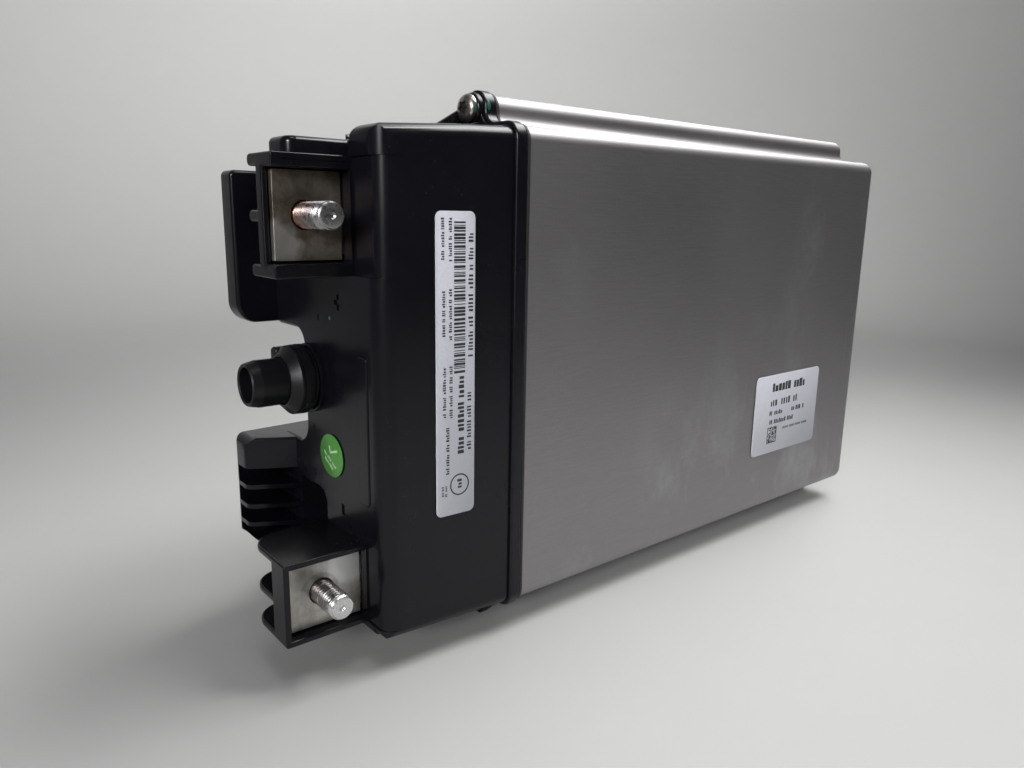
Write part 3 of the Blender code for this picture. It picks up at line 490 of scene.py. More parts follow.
COVER_PLASTIC = plastic("cover_plastic", (0.0029, 0.0027, 0.0044), (0.0046, 0.0043, 0.0066),
                        (0.20, 0.31), 0.07, 0.3)
NOZZLE_PLASTIC = plastic("nozzle_plastic", (0.004, 0.004, 0.0052), (0.007, 0.007, 0.0085),
                         (0.32, 0.45), 0.12)
RUBBER = soft_matter("black_rubber", (0.008, 0.008, 0.009), (0.016, 0.016, 0.017), 0.62, 1500, 0.25, 0.04)
CAN_METAL = can_aluminium()
SCREW_STEEL = brushed_metal("screw_steel", (0.20, 0.18, 0.165), (0.42, 0.40, 0.37), (0.24, 0.4),
                            (1, 1, 1), 900, ((0.24, 0.12, 0.08), 260, 0.5, 0.5))
STUD_STEEL = stud_metal("stud_steel", (0.34, 0.30, 0.28), (0.66, 0.65, 0.65), 17.6, 4, (-66.6, 15.8))
STUD_COPPER = stud_metal("stud_copper", (0.34, 0.17, 0.12), (0.36, 0.35, 0.35), 22.9, 9, (-64.9, 130.3))
POSITIVE_TIN = tarnished_plate("positive_tin", (0.15, 0.125, 0.10), (0.24, 0.21, 0.175), (0.10, 0.068, 0.045),
                               0.6, (-65.6, 22.9, 130), (0.44, 0.43, 0.40), (-74, 22.9, 121))
NEGATIVE_TIN = tarnished_plate("negative_tin", (0.36, 0.345, 0.32), (0.60, 0.59, 0.565), (0.26, 0.21, 0.15),
                               0.45, (-67.3, 17.6, 15.5), (0.66, 0.66, 0.65), (-57, 17.6, 23))
LABEL_PAPER = soft_matter("label_film", (0.45, 0.455, 0.505), (0.51, 0.515, 0.565), 0.42, 1400, 0.06, 0.02)
INK = soft_matter("label_ink", (0.012, 0.012, 0.014), (0.03, 0.03, 0.034), 0.5, 1800, 0.1, 0.01)
GREEN_FILM = soft_matter("green_film", (0.048, 0.18, 0.032), (0.075, 0.245, 0.05), 0.38, 900, 0.06, 0.02)
GREEN_INK = soft_matter("pale_green_ink", (0.30, 0.52, 0.26), (0.42, 0.62, 0.36), 0.5, 1200, 0.1, 0.01)
GREEN_PAINT = soft_matter("green_paint", (0.008, 0.07, 0.04), (0.02, 0.14, 0.085), 0.35, 500, 0.3, 0.05)
# Near-black paint used as painted shade at the floor of the screws' lobed recesses.
RECESS_SHADE_PAINT = soft_matter("painted_recess_shade", (0.002, 0.002, 0.003), (0.004, 0.004, 0.005), 0.6, 900, 0.2, 0.02)


# --- The case's cross-section ---

def ridge(middle, level, up, grow):
    """One ridge seen with its crest upwards: fillet, round lobe, fillet; a lower one has a sole."""
    radius = RIDGE_RADIUS + grow
    fillet = RIDGE_RADIUS - grow
    centre_v = RIDGE_RISE - RIDGE_RADIUS
    fillet_v = grow + fillet
    reach = math.sqrt((radius + fillet) ** 2 - (centre_v - fillet_v) ** 2)
    lean = math.degrees(math.atan2(fillet_v - centre_v, reach))
    left = arc((middle - reach, fillet_v), fillet, -90, -lean, 8)
    right = arc((middle + reach, fillet_v), fillet, 180 + lean, 270, 8)
    crest = arc((middle, centre_v), radius, 180 - lean, lean, 26)[1:-1]
    if not up:
        half = math.sqrt(radius ** 2 - (SOLE_DROP - centre_v) ** 2)
        crest = [p for p in crest if p[1] < SOLE_DROP - 0.1]
        turn = len(crest) // 2
        sole = [(middle - half, SOLE_DROP), (middle + half, SOLE_DROP)]
        crest = crest[:turn] + sole + crest[turn:]
    side = 1 if up else -1
    return [(u, level + side * v) for u, v in left + crest + right]


def case_outline(grow=0.0):
    """The can's outline in (y, z), anticlockwise from the near lower corner."""
    edge = CAN_EDGE + grow
    low, high = -grow, CAN_DEPTH + grow
    floor, roof = CAN_FLOOR - grow, CAN_ROOF + grow
    return (
        corner(low, floor, edge, 180, 270)
        + ridge(RIDGE_NEAR, CAN_FLOOR, False, grow)
        + ridge(RIDGE_FAR, CAN_FLOOR, False, grow)
        + corner(high, floor, edge, 270, 360)
        + corner(high, roof, edge, 0, 90)
        + ridge(RIDGE_NEAR, CAN_ROOF, True, grow)[::-1]
        + corner(low, roof, edge, 90, 180)
    )


SCREW_PLACES = {
    "top": (RIDGE_NEAR, CAN_ROOF + RIDGE_RISE - RIDGE_RADIUS),
    "bottom_near": (RIDGE_NEAR, CAN_FLOOR + RIDGE_RADIUS - RIDGE_RISE),
    "bottom_far": (RIDGE_FAR, CAN_FLOOR + RIDGE_RADIUS - RIDGE_RISE),
}


def screw_bores(low, high):
    return [turned("bore", "X", place, [(low, SCREW_BORE), (high, SCREW_BORE)], 32)
            for place in SCREW_PLACES.values()]


def can():
    """The extruded can: ridges cut short of the closed end, whose edges are rounded over."""
    rounding = 6
    body = prism("can_shell", "X", 0.5, CAN_LENGTH - rounding, case_outline(), (0.2, 1.1))
    rings = [section(along, rounded(step_in, CAN_DEPTH - step_in, CAN_FLOOR + step_in,
                                    CAN_ROOF - step_in, max(CAN_EDGE - step_in, 0.5), 8))
             for along, step_in in rounded_end(CAN_LENGTH, rounding, -1, 10)]
    rings.insert(0, [(CAN_LENGTH - 2 * rounding, y, z) for _, y, z in rings[0]])
    inside = prism("hollow", "X", -1, CAN_LENGTH - CAN_WALL,
                   rounded(CAN_WALL, CAN_DEPTH - CAN_WALL, CAN_FLOOR + CAN_WALL,
                           CAN_ROOF - CAN_WALL, CAN_EDGE - CAN_WALL), (0, 2))
    boolean(body, "UNION", [loft("end", rings)])
    boolean(body, "DIFFERENCE", [inside, *screw_bores(-1, 16)])
    return finished(body, CAN_METAL, ["can_housing"])


def gasket():
    """A bead that bulges a little between the cover's lip and the can."""
    bead = prism("gasket_bead", "X", -1.1, 0.35, case_outline(0.55), (0.45, 0.45))
    window = prism("window", "X", -2, 2, rounded(4, CAN_DEPTH - 4, CAN_FLOOR + 4, CAN_ROOF - 4, 3))
    boolean(bead, "DIFFERENCE", [window, *screw_bores(-2, 2)])
    return finished(bead, RUBBER, ["cover_gasket"])


# --- The cover ---

def face_outline():
    """The front face beside the tower, in (y, z): two lugs, the scallop and a pocket."""
    return (
        [(TOWER_FAR / 2, FACE_BOTTOM)]
        + corner(POCKET_EDGE, FACE_BOTTOM, 3, 270, 360, 6)
        + corner(POCKET_EDGE, LOWER_LUG_BOTTOM, 4.6, 180, 90)
        + corner(LUG_FAR, LOWER_LUG_BOTTOM, 3, 270, 360, 6)
        + corner(LUG_FAR, LOWER_LUG_TOP, 3, 0, 90, 6)
        + corner(SCALLOP_FAR, LOWER_LUG_TOP, 7, 270, 180, 10)
        + corner(SCALLOP_FAR, UPPER_LUG_BOTTOM, 6, 180, 90, 10)
        + corner(LUG_FAR, UPPER_LUG_BOTTOM, 2, 270, 360, 6)
        + corner(LUG_FAR, SHOULDER_TOP, 4, 0, 90, 6)
        + [(TOWER_FAR / 2, SHOULDER_TOP)]
    )


def tower():
    """The drafted near strip: a rounded section trimmed by a plan and by a side profile."""
    body = loft("tower", [
        section(along, rounded(near, TOWER_FAR + spread, foot, top, 4, 8))
        for along, near, spread, foot, top in (
            (FACE - 0.5, FACE_NEAR, 0, FACE_BOTTOM, FACE_TOP),
            (TOWER_ROOT, TOWER_ROOT_NEAR, 2, -1.2, CAN_ROOF - 1.4),
            (LIP_FRONT + 1, 0.3, 3, -1.6, CAN_ROOF - 0.8),
        )
    ])
    plan = corner(FACE, FACE_NEAR - 0.3, TOWER_EDGE, 180, 270, 12)
    plan += [(-30, -1), (0, -1), (0, 30), (FACE + 2.5, 30)]
    plan += corner(FACE, TOWER_FAR + 4.5, 2.5, 90, 180, 5)
    side = corner(FACE, FACE_TOP + 0.2, 3.5, 180, 90) + [(0, CAN_ROOF + 3), (0, -5)]
    side += corner(FACE, FACE_BOTTOM, 3, 270, 180, 6)
    return boolean(body, "INTERSECT", [prism("plan", "Z", -6, CAN_ROOF + 6, plan),
                                       prism("side", "Y", -3, 34, side)])


# Each tray: its outer end in X, its near and back sides in Y, its foot and top in Z, where its floor
# starts in Y, how thick its walls are in Z, and where its end wall starts in Y
POSITIVE_TRAY = (-76.7, 17.6, 28.2, 112.7, 147.2, 26.2, 4, 24.4)
NEGATIVE_TRAY = (-80.3, 13.7, 22.9, 2.2, 29.1, 20.9, 2, 13.7)


def tray(outer, near, back, low, high, floor, wall, end):
    """The four walls of one terminal tray, run out from the front face."""
    inside = FACE + 1
    return [
        block("foot", (outer, near, low), (inside, back, low + wall), 0.6, "Y"),
        block("head", (outer, near, high - wall), (inside, back, high), 0.6, "Y"),
        block("floor", (outer, floor, low + 0.3), (inside, back, high - 0.3), 0.5, "X"),
        block("end", (outer, end, low + 0.4), (outer + 1.9, back, high - 0.4), 0.6, "Z"),
    ]


def cover_additions():
    """Everything that stands on, behind and beside the cover's front face."""
    base = loft("base", [
        section(along, rounded(side, CAN_DEPTH - side, foot, CAN_ROOF - drop, radius))
        for along, side, foot, drop, radius in (
            (BASE_FRONT, 2.1, -0.2, 2.3, 5.2), (BASE_FRONT + 0.3, 1.5, -0.8, 1.7, 5.7),
            (BASE_FRONT + 1, 1.2, -1.1, 1.4, 6), (LIP_FRONT + 0.5, 0.4, -1.7, 0.5, 5.5),
        )
    ])
    neck = prism("neck", "X", LIP_FRONT, -1, case_outline(-0.4), (0.4, 0.2))
    lip = prism("lip", "X", -5.7, -1.35, case_outline(1), (0.8, 0.5))
    parts = [tower(), base, neck, lip]
    for name, place in SCREW_PLACES.items():
        wide = 5.2 if name == "top" else 4.25
        boss = [(-8, wide - 0.8), (-7.7, wide - 0.3), (-7.2, wide - 0.1), (-4, wide)]
        parts.append(turned("boss", "X", place, boss))
    parts += tray(*POSITIVE_TRAY) + tray(*NEGATIVE_TRAY)
    for low, high in ((112.7, 116.2), (128.3, 131.5), (143.7, 147.2)):
        rib = [(27, low), *corner(RIB_FAR, low, 1.5, 270, 360, 5),
               *corner(RIB_FAR, high, 1.5, 0, 90, 5), (27, high)]
        parts.append(prism("rib", "X", POSITIVE_TRAY[0], FACE + 1, rib, (0.6, 0)))
    tip = NEGATIVE_TRAY[0]
    wing_plan = [(FACE + 1, 22), (FACE + 1, POCKET_EDGE - 0.3)]
    wing_plan += corner(tip, POCKET_EDGE - 0.3, 9, 90, 180, 12) + [(tip, 22)]
    parts += [prism("wing", "Z", low, high, wing_plan, (0.6, 0.6))
              for low, high in ((2.2, 4.2), (14, 16), (27.1, 29.1))]
    parts.append(prism("shoulder", "Z", 146, SHOULDER_TOP - 0.2,
                       rounded(-72, FACE + 8, 18.2, 32, 3.6, 8), (0, 1.8), 5))
    front, foot, top = -67, 93, 144.6
    plate = corner(front, foot, 7, 270, 180, 10) + corner(front, top, 2, 180, 90, 5)
    plate += [(TOWER_ROOT, top), (TOWER_ROOT, foot)]
    parts += [
        prism("far_plate", "Y", LUG_FAR - 0.2, 83.8, plate, (1.2, 1.2)),
        fins(),
        turned("vent_boss", "X", VENT, [(-54.8, 11.1), (-54.5, 11.6), (TOWER_ROOT, 11.6)], 64),
        loft("gusset", [[(-48, 24.6, 152), (-48, 29, 152), (-48, 29, 154.2)],
                        [(-5.6, 24.6, 152), (-5.6, 31, 152), (-5.6, 29, 162.5)]]),
    ]
    for y, top in ((16.6, 160.2), (24.6, 165.5)):
        web = [(-24, 156), (-5.6, 156), (-5.6, top), (-7.4, top)]
        parts.append(prism("web", "Y", y, y + 1.4, web, (0.3, 0.3)))
    pad = rounded(10.2, 16.2, 42, 89, 1.2, 5)
    return parts + [prism("blank_pad", "X", FACE - 0.4, FACE + 1, pad, (0.35, 0))]


def fins():
    """The ribbed block below the scallop."""
    plan = [(TOWER_ROOT, 60), (FACE + 0.5, 62.6)]
    plan += arc((FINS_FRONT + 3.4, 73.2), 3.4, 232, 180, 6)
    plan += arc((FINS_FRONT + 3, 79), 3, 180, 100, 6) + [(TOWER_ROOT, 84)]
    top = LOWER_LUG_TOP - 0.3
    body = prism("fins", "Z", 13.2, top, plan, (0, 1.0))
    side = [(0, 10), (0, 60), (-55, 60), (-55, top), *corner(FINS_FRONT, top, 4.5, 90, 180, 10)]
    side += [(FINS_FRONT, 16.5), (-65, 13.2), (-55, 10)]
    return boolean(body, "INTERSECT", [prism("side", "Y", 50, 90, side)])


def hollow(low, high, radius=2.0):
    return prism("hollow", "X", low[0], high[0], rounded(low[1], high[1], low[2], high[2], radius, 5))


def tray_recess(foot, top, depth, far):
    """A shallow step in the tower's rounded front edge beside a tray."""
    near = FACE_NEAR - 0.3
    bend = (FACE + TOWER_EDGE, near + TOWER_EDGE - depth * 0.6)
    plan = [(FACE - 3, -3), (FACE + 12, -3), (FACE + 12, near - 0.35)]
    plan += arc(bend, TOWER_EDGE - depth, 268, 180, 12) + [(FACE + depth, far), (FACE - 3, far)]
    return prism("recess", "Z", foot, top, plan)


def signs():
    """The recessed plus and minus signs and a few round moulding marks in the front face."""
    depth = FACE + 0.55
    arm, half = 2.5, 0.75
    y, z = 27.6, 104
    plus = [(-half, -arm), (half, -arm), (half, -half), (arm, -half), (arm, half), (half, half),
            (half, arm), (-half, arm), (-half, half), (-arm, half), (-arm, -half), (-half, -half)]
    return [
        prism("plus", "X", FACE - 1, depth, [(y + u, z + v) for u, v in plus]),
        prism("minus", "X", FACE - 1, depth, rounded(26.8, 29.3, 34.3, 38, 0.2, 2)),
        *[turned("mark", "X", place, [(FACE - 1, radius), (FACE + 0.2, radius)], 24)
          for place, radius in (((41, 98), 1.1), ((47, 60), 1.1), ((31, 86), 0.9), ((36, 8), 1.1))],
    ]


def cover_cuts():
    """Hollows, slots and holes of the cover."""
    front = FACE + COVER_WALL
    step = BASE_FRONT + COVER_WALL
    plus_low, plus_high = case_box("positive_busbar")
    minus_low, minus_high = case_box("negative_busbar")
    return [
        hollow((step, 4, 2), (1, 90, 155), 3),
        hollow((front, 5.2, 41.6), (step + 1, 50.4, 149)),
        hollow((front, 5.2, 3.4), (step + 1, 37.8, 44)),
        hollow((front, 49, 95.5), (step + 1, 71.6, 149)),
        hollow((FACE - 1, 46, 116), (front + 1, 60, 136), 1),
        hollow((FACE - 0.5, plus_low.y - GAP, plus_low.z - GAP),
               (front + 1, plus_high.y + GAP, plus_high.z + GAP), 0.2),
        hollow((FACE - 0.5, minus_low.y - GAP, 6.7), (front + 1, minus_high.y + GAP, 24.3), 0.2),
        *[prism("fin_gap", "Y", 56, 79, rounded(-75, FACE + 1.5, low, high, 0.8, 4))
          for low, high in ((14.8, 19.7), (21.3, 26.5), (28.1, 33.8), (35.4, 41.5))],
        turned("vent_hole", "X", VENT, [(-60, 8), (-45, 8)], 64),
        turned("vent_well", "X", VENT, [(front, 9.4), (step, 9.4)]),
        *screw_bores(-12, 1),
        prism("groove", "X", -73.5, FACE - 0.5, rounded(16.6, 17.95, 145.15, 145.6, 0.1, 2)),
        tray_recess(112.9, 147, 0.8, 17.6),
        tray_recess(2.4, 29.4, 0.5, 13.7),
        *signs(),
    ]


def cover():
    face = prism("cover_shell", "X", FACE, TOWER_ROOT, face_outline(), (1.3, 0), 5)
    boolean(face, "UNION", cover_additions())
    boolean(face, "DIFFERENCE", cover_cuts())
    return finished(face, COVER_PLASTIC, ["front_cover"], 38)


# --- Fasteners and terminals ---

def screws():
    """Pan-head screws with a six-lobed recess, each running into the can."""
    seat = LIP_FRONT - GAP - 1.1
    for name, place in SCREW_PLACES.items():
        wide = 4.6 if name == "top" else 4.15
        dome = [(seat - 2.75 + 2.2 * (1 - math.cos(a)), wide * math.sin(a) ** 0.75)
                for a in (math.radians(d) for d in (14, 24, 34, 46, 58, 70, 82, 90))]
        screw = turned(f"screw_{name}", "X", place, [
            (dome[0][0] - 0.01, 1), *dome, (seat - 0.2, wide), (seat, wide - 0.15), (seat, 2),
            (13.5, 2), (14.5, 1.2),
        ])
        lobes = circle(place, lambda turn: 2.05 + 0.45 * math.cos(6 * turn), 72)
        boolean(screw, "DIFFERENCE", [prism("lobes", "X", seat - 6, seat - 1.35, lobes)])
        finished(screw, SCREW_STEEL, [f"cover_screw_{name}"])
        # A near-black disc at the floor of each lobed recess: painted shade that makes the recess look
        # deeper.
        floor = [(seat - 1.42, 2.4), (seat - 1.36, 2.45), (seat - 1.2, 2.4)]
        finished(turned(f"screw_recess_painted_shade_{name}", "X", place, floor, 36), RECESS_SHADE_PAINT)
    paint_dab("paint_on_screw", SCREW_PLACES["top"], seat - 1.4, seat - 0.1, 4.58, (160, 198))
    paint_dab("paint_on_ear", SCREW_PLACES["top"], -5.1, -3.6, 5.98, (156, 186))
    dot = [(FACE - 0.05, 0.45), (FACE - 0.03, 0.6), (FACE + 0.2, 0.6)]
    finished(turned("paint_dot", "X", (33.5, 98.6), dot, 20), GREEN_PAINT)


def paint_dab(name, centre, low, high, radius, span):
    """A thin patch of paint wrapped round part of a cylinder."""
    steps = 14
    rings = []
    for i in range(steps + 1):
        angle = math.radians(span[0] + (span[1] - span[0]) * i / steps)
        swell = math.sin(math.pi * i / steps)
        middle = (low + high) / 2
        half = (high - low) / 2 * (0.45 + 0.55 * swell)
        top = radius + 0.05 + 0.04 * swell
        rings.append([(middle + along * half, *polar(centre, reach, angle))
                      for along, reach in ((-1, radius), (1, radius), (0.8, top), (-0.8, top))])
    finished(loft(name, rings), GREEN_PAINT)


def thread_radius(share, outer, depth):
    """The radius at a share of one pitch: a rounded crest, straight flanks and a rounded root."""
    wave = abs(2 * (share % 1) - 1)
    return outer - depth * min(max((wave - 0.1) / 0.78, 0), 1)


def stud(name, look, replaces, plate_y, tip_y, centre):
    """An M8 stud with a helical thread, a chamfered tip with a centre dimple and a plain root."""
    pitch, outer, depth, columns, steps = 1.25, 3.98, 0.68, 48, 9
    tip = [(tip_y + 0.5, 0.01), (tip_y + 0.45, 0.5), (tip_y, 0.95), (tip_y, 3.15), (tip_y + 0.08, 3.4)]
    rings = [(along, circle(centre, radius, columns)) for along, radius in tip]
    start, end = tip_y + 0.5, plate_y - 0.2
    count = round((end - start) / pitch * steps)
    for i in range(count + 1):
        run = (end - start) * i / count
        deep = depth * min(1, run / 1.5, (end - start - run) / 1.2 + 0.05)
        chamfer = 3.6 + run * 1.1

        def radius(turn):
            return min(thread_radius(run / pitch - turn / (2 * math.pi), outer, deep), chamfer)

        rings.append((start + run, circle(centre, radius, columns)))
    rings.append((plate_y + 2.6, circle(centre, outer, columns)))
    body = loft(name, [[(x, along, z) for x, z in ring] for along, ring in rings])
    return finished(body, look, replaces, 28, weighted=False)


def terminals():
    """The plates with softly broken edges and the studs pressed through them."""
    for sign, look, stud_look, tail in (("positive", POSITIVE_TIN, STUD_COPPER, (119, 141)),
                                        ("negative", NEGATIVE_TIN, STUD_STEEL, (7, 24))):
        low, high = case_box(f"{sign}_busbar")
        pin_low, pin_high = case_box(f"{sign}_stud")
        centre = ((pin_low.x + pin_high.x) / 2, (pin_low.z + pin_high.z) / 2)
        outline = rounded(low.x, FACE - GAP, low.z, high.z, 0.4, 3)
        plate = prism(f"{sign}_plate", "Y", low.y, high.y, outline, (0.25, 0.25))
        boolean(plate, "UNION", [block("tail", (FACE - 2, low.y + 0.6, tail[0]),
                                       (high.x, high.y - 0.02, tail[1]), 0.2, "Y")])
        bore = turned("bore", "Y", centre, [(low.y - 1, 4.3), (high.y + 1, 4.3)], 48)
        boolean(plate, "DIFFERENCE", [bore])
        finished(plate, look, [f"{sign}_busbar"])
        stud(f"{sign}_stud_thread", stud_look, [f"{sign}_stud"], low.y, pin_low.y, centre)


# --- The vent ---

def vent():
    """The nozzle, its collar with a carrying loop, and the seal ring under the collar."""
    low, high = case_box("vent_nozzle")
    tip, root = low.x, high.x
    nozzle = turned("nozzle", "X", VENT, [
        (tip + 0.15, 6.05), (tip, 6.25), (tip, 6.6), (tip + 0.35, 6.95), (tip + 3.1, 7.55),
        (tip + 3.5, 7.7), (root, 7.7), (root, 4), (root - 1.6, 4), (root - 1.6, 6.5),
        (-60.4, 6.5), (-60.4, 5.8), (tip + 0.4, 5.8),
    ], 72, around=True)
    finished(nozzle, NOZZLE_PLASTIC, ["vent_nozzle"])
    collar = turned("collar", "X", VENT, [
        (-63.8, 8.02), (-63.8, 8.4), (-63.6, 8.75), (-61.2, 11.3), (-60.9, 11.45), (-60.2, 11.45),
        (-60.1, 11.15), (-59.8, 11.15), (-59.7, 11.5), (-58.4, 11.6), (-57.0, 11.6), (-56.6, 11.45),
        (-56.4, 11.2), (-56.4, 8.02),
    ], 72, around=True)
    loop = block("loop", (-63, 53.6, 81.6), (-57.6, 58, 87), 1.2, "Y")
    window = prism("window", "Y", 50, 62, rounded(-62, -59.4, 83.3, 86, 0.9, 6))
    lugs = []
    for degrees in (100, 220, 340):
        turn = math.radians(degrees)
        lug = block("lug", (-59.2, -1.5, -0.95), (-56.6, 1.5, 0.95), 0.3, "X")
        lug.data.transform(Matrix.Rotation(turn + math.pi / 2, 4, "X"))
        lug.data.transform(Matrix.Translation((0, *polar(VENT, 10.9, turn))))
        lugs.append(lug)
    keep = turned("keep", "X", VENT, [(-70, 8), (-50, 8)], 72)
    boolean(collar, "UNION", [loop, *lugs])
    boolean(collar, "DIFFERENCE", [window, keep])
    finished(collar, NOZZLE_PLASTIC, ["vent_collar"])
    ring = turned("seal_ring", "X", VENT, [
        (-56.1, 8.02), (-56.1, 10.3), (-55.95, 10.55), (-55.25, 10.55), (-55.1, 10.3), (-55.1, 8.02),
    ], 64, around=True)
    finished(ring, RUBBER, ["vent_seal_ring"])


# --- Labels ---

INK_FOOT = 0.005
INK_TOP = 0.035
# Rows of dashes down the tall label: start, end, place across, size and weight, in millimetres
TALL_ROWS = (
    (2, 15, 1.9, 1.15, 0.62), (2, 15, 4.6, 1.15, 0.62), (23.5, 38, 2.2, 1.15, 0.62),
    (23, 39, 4.6, 1.15, 0.62), (47, 63, 2.4, 1.15, 0.62), (46.6, 63.6, 4.8, 1.15, 0.62),
    (66, 82, 3.5, 1.25, 0.62), (6.5, 45, 11.7, 1.75, 0.5), (50, 76, 7.9, 2.3, 0.7),
    (55.5, 75.5, 11.3, 1.6, 0.5), (85, 88.6, 1.9, 0.8, 0.62), (85, 88.6, 3.1, 0.8, 0.62),
)
# Rows along the small label: start, end and place across as shares of it, size and weight
SMALL_ROWS = (
    (0.25, 0.79, 0.11, 3.9, 0.9), (0.24, 0.66, 0.31, 3.3, 0.6), (0.23, 0.48, 0.46, 2.1, 0.75),
    (0.58, 0.80, 0.46, 2.1, 0.75), (0.24, 0.62, 0.575, 2.1, 0.7), (0.46, 0.88, 0.70, 1.1, 0.5),
)


def label_plane(corner, right, down, outward):
    """A function that maps label millimetres (s, t) and a height to a case point."""
    corner, right, down, outward = (Vector(v) for v in (corner, right, down, outward))
    return lambda s, t, height=0.0: corner + right * s + down * t + outward * height


def film(name, outline, plane, look, replaces):
    """A label's film: a thin plate with an eased edge that follows its surface."""
    rings = [[plane(s, t, height) for s, t in inset(outline, step_in)]
             for height, step_in in ((-0.2, 0), (-0.05, 0), (0, 0.05))]
    finished(loft(name, rings), look, replaces, 50, weighted=False)


class Print:
    """Ink on a label's plane: low raised shapes, with random numbers of their own."""

    def __init__(self, plane, seed):
        self.plane = plane
        self.rng = random.Random(seed)
        self.bm = bmesh.new()

    def row(self, points, height):
        return [self.bm.verts.new(self.plane(s, t, height)) for s, t in points]

    def shape(self, corners):
        rows = [self.row(corners, INK_FOOT), self.row(corners, INK_TOP)]
        self.bm.faces.new(rows[0])
        self.bm.faces.new(rows[1])
        bridge(self.bm, rows)

    def box(self, s0, t0, s1, t1):
        self.shape([(s0, t0), (s1, t0), (s1, t1), (s0, t1)])

    def dashes(self, start, end, across, size, down=False, weight=0.62):
        """A greeked row: words of small blocks with no lettering, run along s or down t."""
        along = start
        while along < end - size * 0.3:
            for _ in range(self.rng.randint(2, 7)):
                width = size * self.rng.uniform(0.32, 0.62)
                if along + width > end:
                    break
                high = across + size
                low = high - size * self.rng.choice((0.72, 0.86, 1, 1))
                stop = along + width * weight + size * 0.08
                self.box(*((low, along, high, stop) if down else (along, low, stop, high)))
                along += width + size * 0.16
            along += size * self.rng.uniform(0.45, 0.8)

    def bars(self, start, end, low, high):
        """A strip of bars of random widths, run down t."""
        along = start
        while along < end:
            width = self.rng.choice((0.25, 0.25, 0.5, 0.75))
            self.box(low, along, high, min(along + width, end))
            along += width + self.rng.choice((0.25, 0.25, 0.5, 0.7))

    def ring(self, centre, outer, inner):
        levels = ((inner, INK_FOOT), (outer, INK_FOOT), (outer, INK_TOP), (inner, INK_TOP))
        rows = [self.row(circle(centre, radius, 48), height) for radius, height in levels]
        bridge(self.bm, rows, True)

    def done(self, name, look):
        finished(mesh_object(name, self.bm), look, weighted=False)


def cover_label():
    """The tall label on the cover's drafted near face."""
    low, high = case_box("cover_label")
    slope = (TOWER_ROOT_NEAR - FACE_NEAR) / (TOWER_ROOT - FACE)
    right = Vector((1, slope, 0)).normalized()
    outward = Vector((slope, -1, 0)).normalized()
    width, height = (high.x - low.x) / right.x, high.z - low.z
    start = (low.x, FACE_NEAR + slope * (low.x - FACE) - GAP - 0.2, high.z)
    plane = label_plane(start, right, (0, 0, -1), outward)
    film("tall_label", rounded(0, width, 0, height, 2, 8), plane, LABEL_PAPER, ["cover_label"])
    ink = Print(plane, 11)
    for start, end, across, size, weight in TALL_ROWS:
        ink.dashes(start, end, across, size, True, weight)
    ink.bars(3, 49, 6.5, 10.6)
    ink.ring((8.6, 85.2), 3.6, 3.15)
    ink.dashes(83.4, 87, 7.7, 1.7, True, 0.7)
    ink.done("tall_label_print", INK)


def can_label():
    """The small label on the can's near side, with a square of random cells."""
    low, high = case_box("can_label")
    width, height = high.x - low.x, high.z - low.z
    plane = label_plane((low.x, low.y, high.z), (1, 0, 0), (0, 0, -1), (0, -1, 0))
    film("small_label", rounded(0, width, 0, height, 2.5, 8), plane, LABEL_PAPER, ["can_label"])
    ink = Print(plane, 5)
    for start, end, across, size, weight in SMALL_ROWS:
        ink.dashes(start * width, end * width, across * height, size, False, weight)
    cells = 15
    cell = 0.205 * height / cells
    rim = (0, cells - 1)
    for i in range(cells):
        for j in range(cells):
            if i in rim or j in rim or ink.rng.random() < 0.5:
                s, t = 0.22 * width + i * cell, 0.67 * height + j * cell
                ink.box(s, t, s + cell * 0.96, t + cell * 0.96)
    ink.done("small_label_print", INK)


def sticker():
    """The oval green sticker, with a plain tick and dashes in place of its lettering."""
    low, high = case_box("inspection_sticker")
    half_s, half_t = (high.y - low.y) / 2, (high.z - low.z) / 2
    plane = label_plane((low.x, low.y + half_s, low.z + half_t), (0, -1, 0), (0, 0, -1), (-1, 0, 0))
    oval = [(s * half_s, t * half_t) for s, t in circle((0, 0), 1, 72)]
    film("oval_sticker", oval, plane, GREEN_FILM, ["inspection_sticker"])
    tilt = Matrix.Rotation(math.radians(28), 2)
    ink = Print(lambda s, t, height: plane(*(tilt @ Vector((s, t))), height), 3)
    for s0, t0, s1, t1 in ((-2.6, -2.2, -1.0, -0.6), (-1.0, -0.6, 2.6, -4.2)):
        run = Vector((s1 - s0, t1 - t0))
        side = Vector((-run.y, run.x)).normalized() * 0.38
        ink.shape([(s0 + side.x, t0 + side.y), (s1 + side.x, t1 + side.y),
                   (s1 - side.x, t1 - side.y), (s0 - side.x, t0 - side.y)])
    ink.dashes(-4.6, 4.6, 1.2, 1.0)
    ink.dashes(-3.2, 3.2, 3.0, 0.9)
    ink.done("oval_sticker_print", GREEN_INK)


# --- What stays inside ---

def springs():
    """The two round-wire springs, coiled to fill their nodes' boxes."""
    steel = brushed_metal("spring_steel", (0.30, 0.30, 0.31), (0.56, 0.55, 0.54), (0.2, 0.35), (1, 1, 1))
    for node, axis, joint, wire, turns, stroke in (
        ("vent_valve_spring", "X", "relief_valve_lift", 0.4, 4, 2.5),
        ("contactor_spring", "Z", "contactor_pull_in", 0.45, 3, 2),
    ):
        low, high = case_box(node)
        along, u, v = AXES[axis]
        centre = ((low[u] + high[u]) / 2, (low[v] + high[v]) / 2)
        radius = (high[v] - low[v]) / 2 - wire
        rise = high[along] - low[along] - 2 * wire
        rings = []
        for i in range(turns * 24 + 1):
            angle = 2 * math.pi * i / 24
            middle = low[along] + wire + rise * i / (turns * 24)
            rings.append([placed(axis, height, *polar(centre, reach, angle))
                          for reach, height in circle((radius, middle), wire, 10)])
        piece = baked(finished(loft(f"{node}_coil", rings), steel, [node], 60))
        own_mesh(piece)


